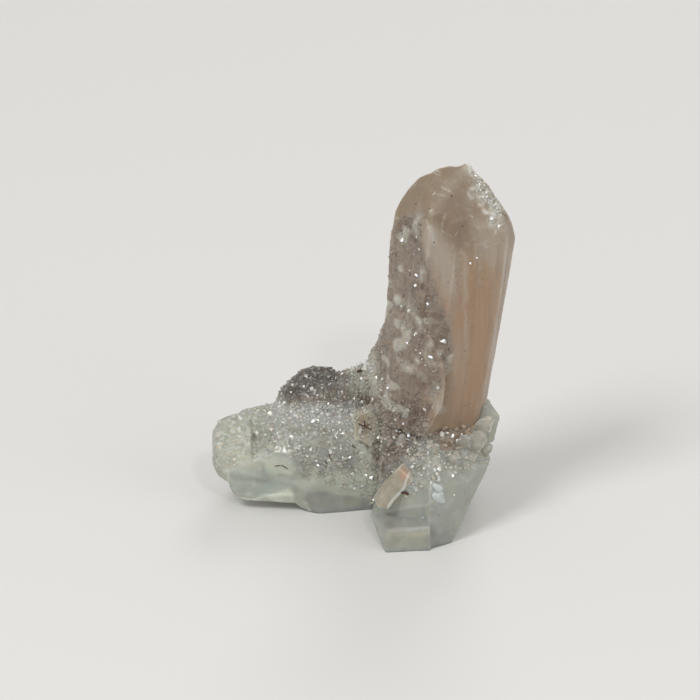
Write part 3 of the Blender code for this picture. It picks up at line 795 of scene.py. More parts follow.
def surface_group():
    """What every crystal face has: grain, streaks along the blade, gloss, and glittering facets."""
    found = bpy.data.node_groups.get("crystal_surface")
    if found:
        return found
    group = bpy.data.node_groups.new("crystal_surface", "ShaderNodeTree")
    sockets = (
        ("Tint", "NodeSocketColor", (0.5, 0.5, 0.5, 1.0)),
        ("Normal", "NodeSocketVector", (0.0, 0.0, 1.0)),
        ("Druse", "NodeSocketFloat", 0.0),
        ("Grain Scale", "NodeSocketFloat", 2500.0),
        ("Grain Contrast", "NodeSocketFloat", 0.15),
        ("Streak Scale", "NodeSocketFloat", 2200.0),
        ("Streak Contrast", "NodeSocketFloat", 0.0),
        ("Facet Scale", "NodeSocketFloat", 2600.0),
        ("Facet Tilt", "NodeSocketFloat", 0.05),
        ("Druse Tilt", "NodeSocketFloat", 0.7),
        ("Roughness", "NodeSocketFloat", 0.3),
        ("Roughness Spread", "NodeSocketFloat", 0.15),
    )
    for name, kind, default in sockets:
        group.interface.new_socket(name=name, in_out="INPUT", socket_type=kind).default_value = default
    outputs = (
        ("Color", "NodeSocketColor"), ("Roughness", "NodeSocketFloat"), ("Height", "NodeSocketFloat"),
        ("Normal", "NodeSocketVector"),
    )
    for name, kind in outputs:
        group.interface.new_socket(name=name, in_out="OUTPUT", socket_type=kind)
    given = node(group, "NodeGroupInput").outputs
    place = node(group, "ShaderNodeTexCoord").outputs["Object"]

    grain = node(
        group, "ShaderNodeTexNoise", in_Vector=place, in_Scale=given["Grain Scale"],
        in_Detail=4.0, in_Roughness=0.6,
    )
    along = node(
        group, "ShaderNodeMapping", in_Vector=place,
        in_Rotation=(0.0, -math.atan(BLADE_LEAN), 0.0), in_Scale=(1.0, 1.0, STREAK_LENGTH_SHARE),
    )
    streak = node(
        group, "ShaderNodeTexNoise", in_Vector=along.outputs["Vector"],
        in_Scale=given["Streak Scale"], in_Detail=3.0, in_Roughness=0.55,
    )
    grain_level = number_node(group, "SUBTRACT", grain.outputs["Fac"], 0.5)
    streak_level = number_node(group, "SUBTRACT", streak.outputs["Fac"], 0.5)
    grain_shade = number_node(group, "MULTIPLY_ADD", grain_level, given["Grain Contrast"], 1.0)
    streak_shade = number_node(group, "MULTIPLY_ADD", streak_level, given["Streak Contrast"], 1.0)
    both = number_node(group, "MULTIPLY", grain_shade, streak_shade)

    cells = node(group, "ShaderNodeTexVoronoi", in_Vector=place, in_Scale=given["Facet Scale"])
    cell = cells.outputs["Color"]
    centred = vector_node(group, "SUBTRACT", cell, (0.5, 0.5, 0.5))
    tilt = number_node(
        group, "MULTIPLY_ADD", given["Druse"], given["Druse Tilt"], given["Facet Tilt"]
    )
    leaning = vector_node(group, "SCALE", centred, in_Scale=tilt)
    added = vector_node(group, "ADD", given["Normal"], leaning)
    facing = vector_node(group, "NORMALIZE", added)

    level = node(group, "ShaderNodeSeparateColor", cell).outputs[0]
    odd = number_node(group, "MULTIPLY_ADD", level, SPECKLE_SPREAD, -0.5 * SPECKLE_SPREAD)
    speckle = number_node(group, "MULTIPLY_ADD", odd, given["Druse"], 1.0)
    all_three = number_node(group, "MULTIPLY", both, speckle)
    shade = vector_node(group, "SCALE", given["Tint"], in_Scale=all_three)

    gloss = number_node(
        group, "MULTIPLY_ADD", grain_level, given["Roughness Spread"], given["Roughness"],
        use_clamp=True,
    )
    height = number_node(
        group, "MULTIPLY_ADD", streak_level, given["Streak Contrast"], grain_level
    )
    node(
        group, "NodeGroupOutput",
        in_Color=shade, in_Roughness=gloss, in_Height=height, in_Normal=facing,
    )
    return group


def crystal_material(
    name, roughness, transmission, scatter, bump, depth=1.2, absorbed=None, surface=None
):
    """A crystal's material, see-through by transmission and milky by scatter, depth mm deep."""
    found = bpy.data.materials.get(name)
    if found:
        return found
    material = bpy.data.materials.new(name)
    material.use_nodes = True
    tree = material.node_tree
    shader = tree.nodes["Principled BSDF"]
    tint = node(tree, "ShaderNodeAttribute", attribute_name="tint")
    druse = node(tree, "ShaderNodeAttribute", attribute_name="druse")
    geometry = node(tree, "ShaderNodeNewGeometry")
    group = node(
        tree, "ShaderNodeGroup", node_tree=surface_group(), in_Tint=tint.outputs["Color"],
        in_Druse=druse.outputs["Fac"], in_Normal=geometry.outputs["Normal"], in_Roughness=roughness,
    )
    for socket, value in (surface or {}).items():
        group.inputs[socket].default_value = value
    relief = node(
        tree, "ShaderNodeBump", in_Strength=bump, in_Distance=RELIEF_DEPTH * MM,
        in_Height=group.outputs["Height"], in_Normal=group.outputs["Normal"],
    )
    link = tree.links.new
    link(group.outputs["Color"], shader.inputs["Base Color"])
    link(group.outputs["Roughness"], shader.inputs["Roughness"])
    link(relief.outputs["Normal"], shader.inputs["Normal"])
    shader.inputs["Metallic"].default_value = 0.0
    shader.inputs["IOR"].default_value = CRYSTAL_IOR
    shader.inputs["Transmission Weight"].default_value = transmission
    shader.inputs["Subsurface Weight"].default_value = scatter
    shader.inputs["Subsurface Radius"].default_value = SCATTER_COLOURS
    shader.inputs["Subsurface Scale"].default_value = depth * MM
    shader.inputs["Sheen Weight"].default_value = SHEEN
    shader.inputs["Sheen Roughness"].default_value = SHEEN_ROUGHNESS
    if absorbed:
        colour, density = absorbed
        volume = node(
            tree, "ShaderNodeVolumeAbsorption", in_Color=(*colour, 1.0), in_Density=density
        )
        link(volume.outputs["Volume"], tree.nodes["Material Output"].inputs["Volume"])
    return material


def blade_material():
    return crystal_material(
        "peach_stilbite", roughness=0.3, transmission=0.22, scatter=0.8, bump=0.3, absorbed=BLADE_ABSORPTION,
        surface={"Streak Contrast": 0.3, "Facet Tilt": 0.04, "Grain Contrast": 0.12},
    )


def glass_material():
    return crystal_material(
        "pale_glass", roughness=0.16, transmission=0.55, scatter=0.8, bump=0.15, depth=1.8,
        absorbed=BASE_ABSORPTION,
        surface={"Grain Scale": 900.0, "Grain Contrast": 0.12, "Facet Tilt": 0.03, "Roughness Spread": 0.2},
    )


def druse_material():
    return crystal_material(
        "small_crystals", roughness=0.12, transmission=0.05, scatter=0.4, bump=0.1, depth=0.12,
        surface={"Grain Contrast": 0.2, "Facet Tilt": 0.1, "Druse Tilt": 0.0},
    )


def salmon_material():
    return crystal_material(
        "salmon_blade", roughness=0.2, transmission=0.35, scatter=0.8, bump=0.2,
        surface={"Streak Contrast": 0.3},
    )


def block_material():
    return crystal_material(
        "brown_crystal", roughness=0.18, transmission=0.3, scatter=0.8, bump=0.2,
        surface={"Grain Contrast": 0.25},
    )


def clear_material():
    return crystal_material(
        "clear_crystal", roughness=0.06, transmission=0.68, scatter=0.4, bump=0.15, depth=0.3,
        surface={"Grain Contrast": 0.15, "Facet Tilt": 0.02, "Grain Scale": 1500.0},
    )


def dark_material():
    return crystal_material(
        "dark_inclusion", roughness=0.35, transmission=0.0, scatter=0.0, bump=0.2,
        surface={"Grain Contrast": 0.4, "Facet Tilt": 0.1},
    )


def veil_material():
    return crystal_material("milky_veil", roughness=0.25, transmission=0.2, scatter=0.8, bump=0.15)


def glint_and_tip_material():
    return crystal_material(
        "bright_crystal", roughness=0.12, transmission=0.25, scatter=0.6, bump=0.1, depth=0.6
    )


# Small crystals, grown on the outer skin by geometry nodes

COLOUR_SEED = 7
# Seed of the druse's patches, the same for the crystals and for the ground that they grow on
PATCH_SEED = 54
# So many crystals for each square metre that only their spacing limits them
DENSEST = 1.0e8
# The higher, the fewer of the crystals are large
SIZE_POWER = 1.8
CRYSTAL_TILT = 0.6
# Share of crystals painted whitish: partly white crystals, partly painted glints
WHITISH_GLINT_SHARE = 0.05
DARK_SHARE = 0.015


def ring(width, thickness, height, twist=0.0, sides=4):
    """Corners of a level ring round a crystal's length."""
    found = []
    for side in range(sides):
        angle = (side + 0.5) * math.tau / sides + twist
        found.append((width * math.cos(angle), thickness * math.sin(angle), height))
    return found


def crystal_shapes():
    """The few forms that all small crystals share, a millimetre tall, with their foot below zero."""
    forms = {
        "block_low": ring(0.5, 0.42, -0.4) + ring(0.46, 0.4, 0.3) + [(0.1, 0.05, 0.5)],
        "block_slant": ring(0.46, 0.38, -0.4) + [
            (-0.3, -0.27, 0.5), (0.33, -0.27, 0.24), (0.33, 0.27, 0.3), (-0.3, 0.27, 0.42),
        ],
        "point": ring(0.34, 0.3, -0.4, 0.3, 6) + ring(0.3, 0.26, 0.24, 0.3, 6) + [(0.06, 0.0, 0.62)],
        "blade": ring(0.5, 0.16, -0.4, 0.2, 6) + ring(0.46, 0.14, 0.4, 0.2, 6) + [
            (0.15, 0.0, 0.66), (-0.12, 0.0, 0.6),
        ],
        "cube": ring(0.48, 0.44, -0.45, 0.1) + ring(0.46, 0.42, 0.36, 0.16),
    }
    shapes = bpy.data.collections.new("crystal_shapes")
    for name, corners in forms.items():
        verts, faces = hull([tuple(MM * value for value in corner) for corner in corners])
        shapes.objects.link(bpy.data.objects.new(name, new_mesh(name, verts, faces)))
    return shapes


def druse_tree():
    """Geometry nodes that grow small crystals on a skin, denser where its attribute growth is high."""
    tree = bpy.data.node_groups.new("grow_druse", "GeometryNodeTree")
    sockets = (
        ("Geometry", "NodeSocketGeometry", None),
        ("Shapes", "NodeSocketCollection", None),
        ("Material", "NodeSocketMaterial", None),
        ("Spacing", "NodeSocketFloat", 0.6 * MM),
        ("Smallest", "NodeSocketFloat", 0.5),
        ("Largest", "NodeSocketFloat", 1.2),
        ("Sink", "NodeSocketFloat", 0.2),
        ("Tilt", "NodeSocketFloat", 0.5),
        ("Seed", "NodeSocketInt", 0),
    )
    for name, kind, default in sockets:
        socket = tree.interface.new_socket(name=name, in_out="INPUT", socket_type=kind)
        if default is not None:
            socket.default_value = default
    tree.interface.new_socket(name="Geometry", in_out="OUTPUT", socket_type="NodeSocketGeometry")
    given = node(tree, "NodeGroupInput").outputs

    growth = node(
        tree, "GeometryNodeInputNamedAttribute", data_type="FLOAT", in_Name="growth"
    )
    scatter = node(
        tree, "GeometryNodeDistributePointsOnFaces", distribute_method="POISSON",
        in_Mesh=given["Geometry"], in_Distance_Min=given["Spacing"], in_Density_Max=DENSEST,
        in_Density_Factor=growth.outputs["Attribute"], in_Seed=given["Seed"],
    )
    shapes = node(
        tree, "GeometryNodeCollectionInfo", in_Collection=given["Shapes"],
        in_Separate_Children=True, in_Reset_Children=True,
    )

    tilt = given["Tilt"]
    less = number_node(tree, "MULTIPLY", tilt, -1.0)
    low = node(tree, "ShaderNodeCombineXYZ", less, less, 0.0)
    high = node(tree, "ShaderNodeCombineXYZ", tilt, tilt, math.tau)
    lean = node(
        tree, "FunctionNodeRandomValue", low.outputs[0], high.outputs[0],
        data_type="FLOAT_VECTOR", in_Seed=given["Seed"],
    )
    turn = node(
        tree, "FunctionNodeRotateRotation", scatter.outputs["Rotation"], lean.outputs[0],
        rotation_space="LOCAL",
    )

    chance = node(tree, "FunctionNodeRandomValue", data_type="FLOAT", in_Seed=given["Seed"])
    raised = number_node(tree, "POWER", chance.outputs[1], SIZE_POWER)
    size = node(
        tree, "ShaderNodeMapRange", raised, in_To_Min=given["Smallest"], in_To_Max=given["Largest"]
    )
    place = node(
        tree, "GeometryNodeInstanceOnPoints", in_Points=scatter.outputs["Points"],
        in_Instance=shapes.outputs[0], in_Pick_Instance=True, in_Rotation=turn.outputs[0],
        in_Scale=size.outputs[0],
    )
    depth = number_node(tree, "MULTIPLY", given["Sink"], -MM)
    down = node(tree, "ShaderNodeCombineXYZ", in_Z=depth)
    sunk = node(
        tree, "GeometryNodeTranslateInstances", place.outputs[0],
        in_Translation=down.outputs[0], in_Local_Space=True,
    )
    colour = node(tree, "FunctionNodeRandomValue", data_type="FLOAT", in_Seed=COLOUR_SEED)
    keep = node(
        tree, "GeometryNodeStoreNamedAttribute", sunk.outputs[0], data_type="FLOAT",
        domain="INSTANCE", in_Name="chance", in_Value=colour.outputs[1],
    )
    real = node(tree, "GeometryNodeRealizeInstances", keep.outputs[0])
    finish = node(
        tree, "GeometryNodeSetMaterial", real.outputs[0], in_Material=given["Material"]
    )
    node(tree, "NodeGroupOutput", finish.outputs[0])
    return tree


class Garden:
    """The outer skin of the finished bodies, and what is needed to grow small crystals on it."""

    def __init__(self, cell):
        bodies = []
        for name in (*BODIES, "brown_block"):
            verts, faces = body_of_mesh(bpy.data.objects[name].data)
            bodies.append(([Vector(vert) / MM for vert in verts], faces))
        self.skin = grown_together("skin", bodies, cell)
        self.points = points_of(self.skin)
        self.normals = normals_of(self.skin)
        self.pixels = seen(self.points)
        self.facing = facing_camera(self.normals)
        self.shapes = crystal_shapes()
        self.tree = druse_tree()

    def front(self, outline, blur=3.0):
        """Growth inside an outline of the photograph, on the faces that it shows."""
        return inside_share(self.pixels, outline, blur) * self.facing

    def behind(self, low, high):
        """Growth in patches on the faces that look back, between two heights."""
        height = self.points[:, 2] + 1.5 * soft_noise(self.points, 3.0, 47)
        band = smooth_step(low - 1.0, low + 1.0, height) * (1.0 - smooth_step(high - 2.0, high + 2.0, height))
        patches = smooth_step(-0.5, 0.1, soft_noise(self.points, 4.5, 48))
        return smooth_step(0.15, 0.45, self.normals[:, 1]) * band * patches

    def grow(self, growth, spacing, sizes, sink, seed, material):
        """Small crystals where growth is high, as a plain mesh in millimetres."""
        mesh = self.skin.copy()
        set_value(mesh, "growth", growth)
        mesh.transform(Matrix.Scale(MM, 4))
        ground = bpy.data.objects.new("ground", mesh)
        bpy.context.scene.collection.objects.link(ground)
        modifier = ground.modifiers.new("grow", "NODES")
        modifier.node_group = self.tree
        values = {
            "Shapes": self.shapes, "Material": material, "Spacing": spacing, "Smallest": sizes[0],
            "Largest": sizes[1], "Sink": sink, "Tilt": CRYSTAL_TILT, "Seed": seed,
        }
        for item in self.tree.interface.items_tree:
            if item.in_out == "INPUT" and item.name in values:
                modifier[item.identifier] = values[item.name]
        bpy.context.view_layer.update()
        depsgraph = bpy.context.evaluated_depsgraph_get()
        grown = bpy.data.meshes.new_from_object(
            ground.evaluated_get(depsgraph), preserve_all_data_layers=True, depsgraph=depsgraph
        )
        remove_with_mesh(ground)
        grown.transform(Matrix.Scale(1.0 / MM, 4))
        return grown

    def clear(self):
        for shape in list(self.shapes.objects):
            remove_with_mesh(shape)
        bpy.data.collections.remove(self.shapes)
        bpy.data.node_groups.remove(self.tree)
        bpy.data.meshes.remove(self.skin)


def body_of_mesh(mesh):
    """Vertices and faces of a mesh, as the other bodies have them."""
    verts = [tuple(vert.co) for vert in mesh.vertices]
    faces = [tuple(face.vertices) for face in mesh.polygons]
    return verts, faces


def one_mesh(name, meshes):
    """Several meshes as one, with their attributes."""
    whole = bmesh.new()
    for mesh in meshes:
        whole.from_mesh(mesh)
        bpy.data.meshes.remove(mesh)
    made = bpy.data.meshes.new(name)
    whole.to_mesh(made)
    whole.free()
    return made


def druse_colours(paint, settings, share):
    """Paints the druse's colours, the same on what it grows on and on its crystals."""
    points = paint.points
    high = smooth_step(13.0, 18.0, points[:, 2])
    paint.mix(settings.pale, 0.45 * share * (1.0 - high))
    paint.mix(settings.mauve, 0.35 * high * share)
    patches = share_of_noise(points, 2.4, PATCH_SEED + 2) * (0.3 + 0.7 * high)
    paint.mix(settings.brown, 0.2 * patches * share)
    zones = (
        (settings.mauve, FLANK, 5.0, 0.3),
        (settings.mauve, FLANK_DARK, 6.0, 0.65),
        (settings.mauve, FLANK_LOW, 8.0, 0.5),
        (settings.brown, FLANK_SPOT, 4.0, 0.5),
        (settings.mauve, JUNCTION, 8.0, 0.5),
        (settings.mauve, BUMP_BROWN, 4.0, 0.7),
        (settings.bump, BUMP_GREY, 5.0, 0.9),
        (settings.pale, WALL_PALE, 4.0, 0.55),
        # The shoulder's druse painted near white: partly its pale crystals, partly painted sparkle
        (settings.white, SHOULDER, 4.0, 0.85),
        # The arm's top band painted near white: partly its pale druse, partly painted light from above
        (settings.white, ARM_BAND, 4.0, 0.8),
        (settings.pale, ARM_END, 5.0, 0.8),
        (settings.mauve, ARM_BROWN, 5.0, 0.12),
        (settings.bump, ARM_GREY, 6.0, 0.3),
        (settings.amber, BLADE_END, 7.0, 0.85),
    )
    for colour, outline, blur, strength in zones:
        paint.mix(colour, strength * share * paint.facing * inside_share(paint.pixels, outline, blur))
    for outline, size, strength in ((FLANK_DARK, 1.3, 0.5), (JUNCTION, 0.9, 0.6), (BUMP_ALL, 1.1, 0.3)):
        dark = share_of_noise(points, size, PATCH_SEED + 3, 0.1, 0.5)
        dark = dark * inside_share(paint.pixels, outline, 5.0)
        paint.mix(settings.brown, strength * dark * share * paint.facing)
    light = share_of_noise(points, 1.5, PATCH_SEED + 4, 0.15, 0.6) * share
    paint.mix(settings.pale, 0.45 * light * paint.facing * inside_share(paint.pixels, FLANK, 4.0))
    for vein in FLANK_VEINS:
        paint.line(settings.pale, vein, 5.0, 0.22)


def paint_crystals(mesh, settings):
    """Colours of grown crystals: their ground's, with a few whitish ones, partly painted glints, and dark
    ones among them.
    """
    paint = Paint(mesh, settings.mauve, 44)
    chance = np.empty(len(mesh.vertices))
    mesh.attributes["chance"].data.foreach_get("value", chance)
    share = np.ones(len(chance))
    paint.mix(settings.pale, 0.35 * share)
    druse_colours(paint, settings, 0.9 * share)
    paint.brighten(0.8 + 0.14 * chance)
    # A few crystals painted whitish: partly white crystals, partly painted glints
    paint.mix(settings.white, 0.75 * (chance > 1.0 - WHITISH_GLINT_SHARE))
    paint.mix(settings.brown, 0.6 * (chance < DARK_SHARE) * smooth_step(10.0, 14.0, paint.points[:, 2]))
    set_tint(mesh, paint.tint)


def grow_druse(settings):
    """The druse, in one piece for each region: growth, spacing, sizes and sink of each layer."""
    garden = Garden(settings.skin_grain)
    dark_zone = np.maximum(garden.front(FLANK_DARK, 5.0), garden.front(JUNCTION))
    flank = garden.front(FLANK)
    lump_top = 0.8 * garden.front(LUMP_TOP) * (1.0 - inside_share(garden.pixels, BLADE_END, 5.0))
    arm = np.maximum(0.6 * garden.front(ARM_DRUSE), lump_top)
    arm = np.maximum(arm, garden.front(ARM_BAND)) * (1.0 - 0.8 * inside_share(garden.pixels, ARM_END, 6.0))
    bump = garden.front(BUMP_ALL)
    high = smooth_step(14.0, 17.0, garden.points[:, 2])
    left = smooth_step(0.2, 0.6, -garden.normals[:, 0]) * high
    left = left * (1.0 - smooth_step(38.0, 44.0, garden.points[:, 2]))
    fine, coarse = settings.fine_spacing, settings.coarse_spacing
    ring_growth = garden.front(BLOCK_RING, 4.0) * (1.0 - inside_share(garden.pixels, BLOCK_FACE, 3.0))
    open_foot = 1.0 - inside_share(garden.pixels, BLADE_END, 5.0)
    crease = line_share(garden.pixels, BLADE_CREASE, 5.0) * garden.facing
    regions = {
        "flank_crystals": (
            (0.3 * np.maximum(flank, 0.5 * left), fine, (0.3, 0.7), 0.16),
            (0.5 * np.maximum(0.7 * flank, dark_zone), coarse, (0.8, 1.7), 0.45),
        ),
        "foot_crystals": (
            (0.7 * garden.front(FOOT, 5.0) * open_foot, 0.8 * fine, (0.4, 0.9), 0.16),
            (0.5 * garden.front(FOOT_LINE, 4.0), 0.8 * coarse, (0.9, 1.7), 0.35),
            (0.9 * crease, 0.6 * coarse, (0.7, 1.5), 0.3),
        ),
        "shoulder_crystals": (
            (0.7 * garden.front(SHOULDER, 3.0), 0.7 * fine, (0.25, 0.65), 0.12),
        ),
        "bump_crystals": (
            (0.6 * bump, fine, (0.35, 0.8), 0.15),
            (0.5 * bump, coarse, (0.8, 1.4), 0.38),
        ),
        "arm_crystals": (
            (0.8 * np.maximum(0.8 * arm, ring_growth), 0.95 * fine, (0.3, 0.9), 0.2),
            (0.7 * np.maximum(0.7 * arm, garden.front(ARM_GREY)), 0.8 * coarse, (0.9, 1.9), 0.5),
        ),
        "back_crystals": (
            (0.5 * garden.behind(9.0, 22.0), fine * 1.2, (0.4, 0.9), 0.16),
            (0.8 * garden.behind(8.0, 18.0), coarse * 1.1, (1.0, 2.0), 0.45),
        ),
    }
    material = druse_material()
    for number, (name, layers) in enumerate(regions.items()):
        meshes = []
        for layer, (growth, spacing, sizes, sink) in enumerate(layers):
            seed = settings.seed + 10 * number + layer
            meshes.append(garden.grow(growth, spacing, sizes, sink, seed, material))
        mesh = one_mesh(name, meshes)
        paint_crystals(mesh, settings)
        finished(mesh, material)
    garden.clear()


# The blade


def blade_form():
    """All corners of the blade: its rings up the length, then the tip."""
    corners = []
    for height, centre_x, centre_y, width, depth in BLADE_RINGS:
        for across, along in BLADE_CORNERS:
            corners.append((centre_x + across * width, centre_y + along * depth, height))
    corners.extend(BLADE_TIP)
    return corners


def plate_body(low_edge, plate):
    """One plate of the blade: the blade's own form, shifted and turned a little and cut to a slab."""
    high_edge, shift_y, drop, degrees = plate
    foot_height, foot_x, foot_y = BLADE_RINGS[0][:3]
    lengthwise = Vector((BLADE_LEAN, 0.0, 1.0)).normalized()
    across = 0.5 * (max(low_edge, -PLATE_REACH) + min(high_edge, PLATE_REACH))
    centre = Vector((foot_x + across, foot_y, foot_height))
    turn = Matrix.Rotation(math.radians(degrees), 3, lengthwise)
    offset = centre + Vector((0.0, shift_y, -drop))
    verts, faces = hull([turn @ (Vector(corner) - centre) + offset for corner in blade_form()])
    slab = bmesh.new()
    slab.from_mesh(new_mesh("slab", verts, faces))
    normal = Vector((1.0, 0.0, -BLADE_LEAN)).normalized()
    for edge, side in ((low_edge - PLATE_OVERLAP, -1.0), (high_edge + PLATE_OVERLAP, 1.0)):
        point = Vector((foot_x + edge, 0.0, foot_height))
        geometry = slab.verts[:] + slab.edges[:] + slab.faces[:]
        bmesh.ops.bisect_plane(slab, geom=geometry, plane_co=point, plane_no=normal * side, clear_outer=True)
    corners = [tuple(vert.co) for vert in slab.verts]
    slab.free()
    return hull(moved(corners))


def blade_bodies():
    """The plates of the blade and the swelling of its left flank."""
    bodies = [hull(moved(FLANK_SWELL))]
    low_edge = FIRST_PLATE_EDGE
    for plate in PLATES:
        bodies.append(plate_body(low_edge, plate))
        low_edge = plate[0]
    return bodies


def flank_share(points, normals):
    """1 on the drusy left flank of the blade and 0 elsewhere."""
    front = inside_share(seen(points), FLANK, 4.0) * facing_camera(normals)
    left = smooth_step(0.0, 0.5, -normals[:, 0]) * (1.0 - smooth_step(38.0, 44.0, points[:, 2]))
    return np.maximum(front, left)


def blade_relief(mesh, settings):
    """Grooves along the faces, slow swellings, and small steps on the tip and the shoulder."""
    points, normals = points_of(mesh), normals_of(mesh)
    facing = facing_camera(normals)
    lengthwise = np.array((BLADE_LEAN, 0.0, 1.0)) / math.hypot(BLADE_LEAN, 1.0)
    upright = 1.0 - smooth_step(0.3, 0.6, np.abs(normals @ lengthwise))
    flank = flank_share(points, normals)
    along = stretched(points, 0.04)
    grooves = 0.9 * soft_noise(along, 1.6, 3) + 0.6 * soft_noise(along, 0.8, 4)
    grooves = grooves + 0.4 * soft_noise(along, 0.45, 5)
    swell = 0.65 * soft_noise(points, 5.0, 6) + 0.35 * soft_noise(points, 2.2, 7)
    shoulder = inside_share(seen(points), SHOULDER, 3.0) * facing
    tip = smooth_step(42.0, 45.5, points[:, 2])
    steps_small = facets(points, 0.9, 11)
    steps_large = facets(points, 2.6, 12)
    height = (
        settings.groove / MM * grooves * upright * (1.0 - flank)
        + settings.unevenness / MM * swell
        + 0.15 * shoulder * steps_small
        + 0.08 * tip * (1.0 - shoulder) * steps_large
        + 0.11 * tip * soft_noise(points, 1.5, 14)
        + flank * (0.10 * soft_noise(points, 0.9, 13) + 0.05 * steps_small)
        - 0.04
    )
    set_points(mesh, points + normals * height[:, None])


def paint_blade(mesh, settings, druse):
    """Streaks and patches of the blade, and the colours of the druse on its flank and foot."""
    paint = Paint(mesh, settings.peach, 31)
    points = paint.points
    streaks = stretched(points, 0.05)
    below_tip = 1.0 - smooth_step(36.0, 45.0, points[:, 2] + 3.0 * soft_noise(streaks, 1.0, 30))
    flank = flank_share(points, paint.normals)
    paint.mix(settings.tan, 0.8 * (1.0 - below_tip))
    paint.zone(settings.orange, ORANGE_HEART, 10.0, 0.35)
    paint.patches(streaks, below_tip, (
        (settings.orange, 0.4, 0.9, 32, 0.0, 0.6),
        (settings.milky, 0.35, 0.7, 33, 0.2, 0.7),
        (settings.rosy, 0.35, 1.3, 34, 0.2, 0.7),
    ))
    paint.patches(points, 1.0 - below_tip, (
        (settings.milky, 0.3, 1.4, 35, 0.1, 0.7),
        (druse.white, 0.22, 0.5, 37, 0.2, 0.7),
        (druse.mauve, 0.3, 0.8, 38, 0.1, 0.6),
    ))
    zones = (
        (settings.tan, TIP, 6.0, 0.85),
        (settings.umber, BROWN_PATCH, 9.0, 0.55),
        (settings.milky, BELOW_SHOULDER, 8.0, 0.5),
        (settings.flank, FLANK, 4.0, 0.9),
        (settings.milky, MILKY_STREAK, 8.0, 0.75),
        (druse.white, WHITE_LINE, 2.0, 0.3),
        (settings.milky, PALE_LINE, 1.5, 0.5),
        (settings.milky, PALE_RIDGE, 7.0, 0.45),
        # The shoulder painted pale: partly its pale druse, partly painted sparkle
        (druse.pale, SHOULDER, 4.0, 0.35),
        (settings.milky, RIGHT_BEVEL, 4.0, 0.4),
        (settings.milky, PALE_FIN, 2.0, 0.6),
    )
    paint.zones(zones)
    # Painted sparkle: white, broken by noise, along the shoulder's steps
    band = line_share(paint.pixels, SHOULDER_SPARKLE_STEPS, 9.0) * share_of_noise(points, 0.5, 36, -0.2, 0.4)
    paint.mix(druse.white, 0.6 * band * paint.facing)
    for streak in RED_STREAKS:
        paint.line(settings.rosy, streak, 2.5, 0.7)
    for streak in DEEP_STREAKS:
        paint.line(settings.orange, streak, 5.0, 0.4)
    foot = inside_share(paint.pixels, FOOT, 8.0) * paint.facing
    paint.zone(druse.mauve, FOOT, 8.0, 0.4)
    druse_colours(paint, druse, np.maximum(flank, foot))
    # Painted highlights on the blade's outer edges, away from the druse
    paint.mix(druse.pale, 0.45 * edge_share(mesh) * (1.0 - flank) * (1.0 - foot))
    # The end that is buried in the base is as pale as the base, where a gap below shows it
    paint.mix(druse.pale, 0.9 * (1.0 - smooth_step(7.0, 11.0, points[:, 2])))
    set_tint(mesh, paint.tint)
    shoulder = inside_share(paint.pixels, SHOULDER, 4.0) * paint.facing
    set_value(mesh, "druse", np.maximum(flank, 0.5 * shoulder))


def build_blade(settings, druse):
    """The blade, with softer forms on its tip and its foot than on the plates between."""
    mesh = grown_together("peach_blade", blade_bodies(), settings.grain)
    points = smoothed(mesh, points_of(mesh), 6)
    tip = smooth_step(41.0, 44.0, points[:, 2])
    foot = 1.0 - smooth_step(12.0, 17.0, points[:, 2])
    soft = np.maximum(tip, foot)[:, None]
    set_points(mesh, (1.0 - soft) * points + soft * smoothed(mesh, points, 30))
    blade_relief(mesh, settings)
    paint_blade(mesh, settings, druse)
    finished(mesh, blade_material())


# The glassy base: the pale arm with its bump and wall, and the core with the lump

# Up to this height the base keeps its flat foot
GROUND_BAND = 0.3
BASE_DRUSE = (
    (ARM_DRUSE, 4.0), (JUNCTION, 5.0), (BUMP_ALL, 6.0), (LUMP_TOP, 5.0), (FOOT, 5.0), (FOOT_LINE, 4.0),
)


def base_druse(points, normals):
    """1 where the base is drusy and 0 on its smooth, glassy faces."""
    pixels = seen(points)
    facing = facing_camera(normals)
    front = np.zeros(len(points))
    for outline, blur in BASE_DRUSE:
        front = np.maximum(front, inside_share(pixels, outline, blur))
    height = points[:, 2] + 1.5 * soft_noise(points, 3.0, 47)
    behind = smooth_step(8.0, 10.5, height)
    return facing * front + (1.0 - facing) * behind


def base_relief(mesh, settings):
    """Slow swellings, growth steps on the smooth faces and unevenness under the druse."""
    points, normals = points_of(mesh), normals_of(mesh)
    druse = base_druse(points, normals)
    swell = 0.6 * soft_noise(points, 4.0, 41) + 0.4 * soft_noise(points, 1.8, 42)
    steps = facets(points, 2.6, 43)
    rough = facets(points, 0.8, 48)
    height = settings.unevenness / MM * (swell + 0.5 * steps) - 0.04
    height += druse * (0.07 * rough + 0.08 * soft_noise(points, 0.9, 49))
    placed = points + normals * height[:, None]
    near_ground = points[:, 2] < GROUND_BAND
    placed[:, 2] = np.where(near_ground, points[:, 2], placed[:, 2])
    placed[:, 2] = np.clip(placed[:, 2], 0.0, None)
    set_points(mesh, placed)


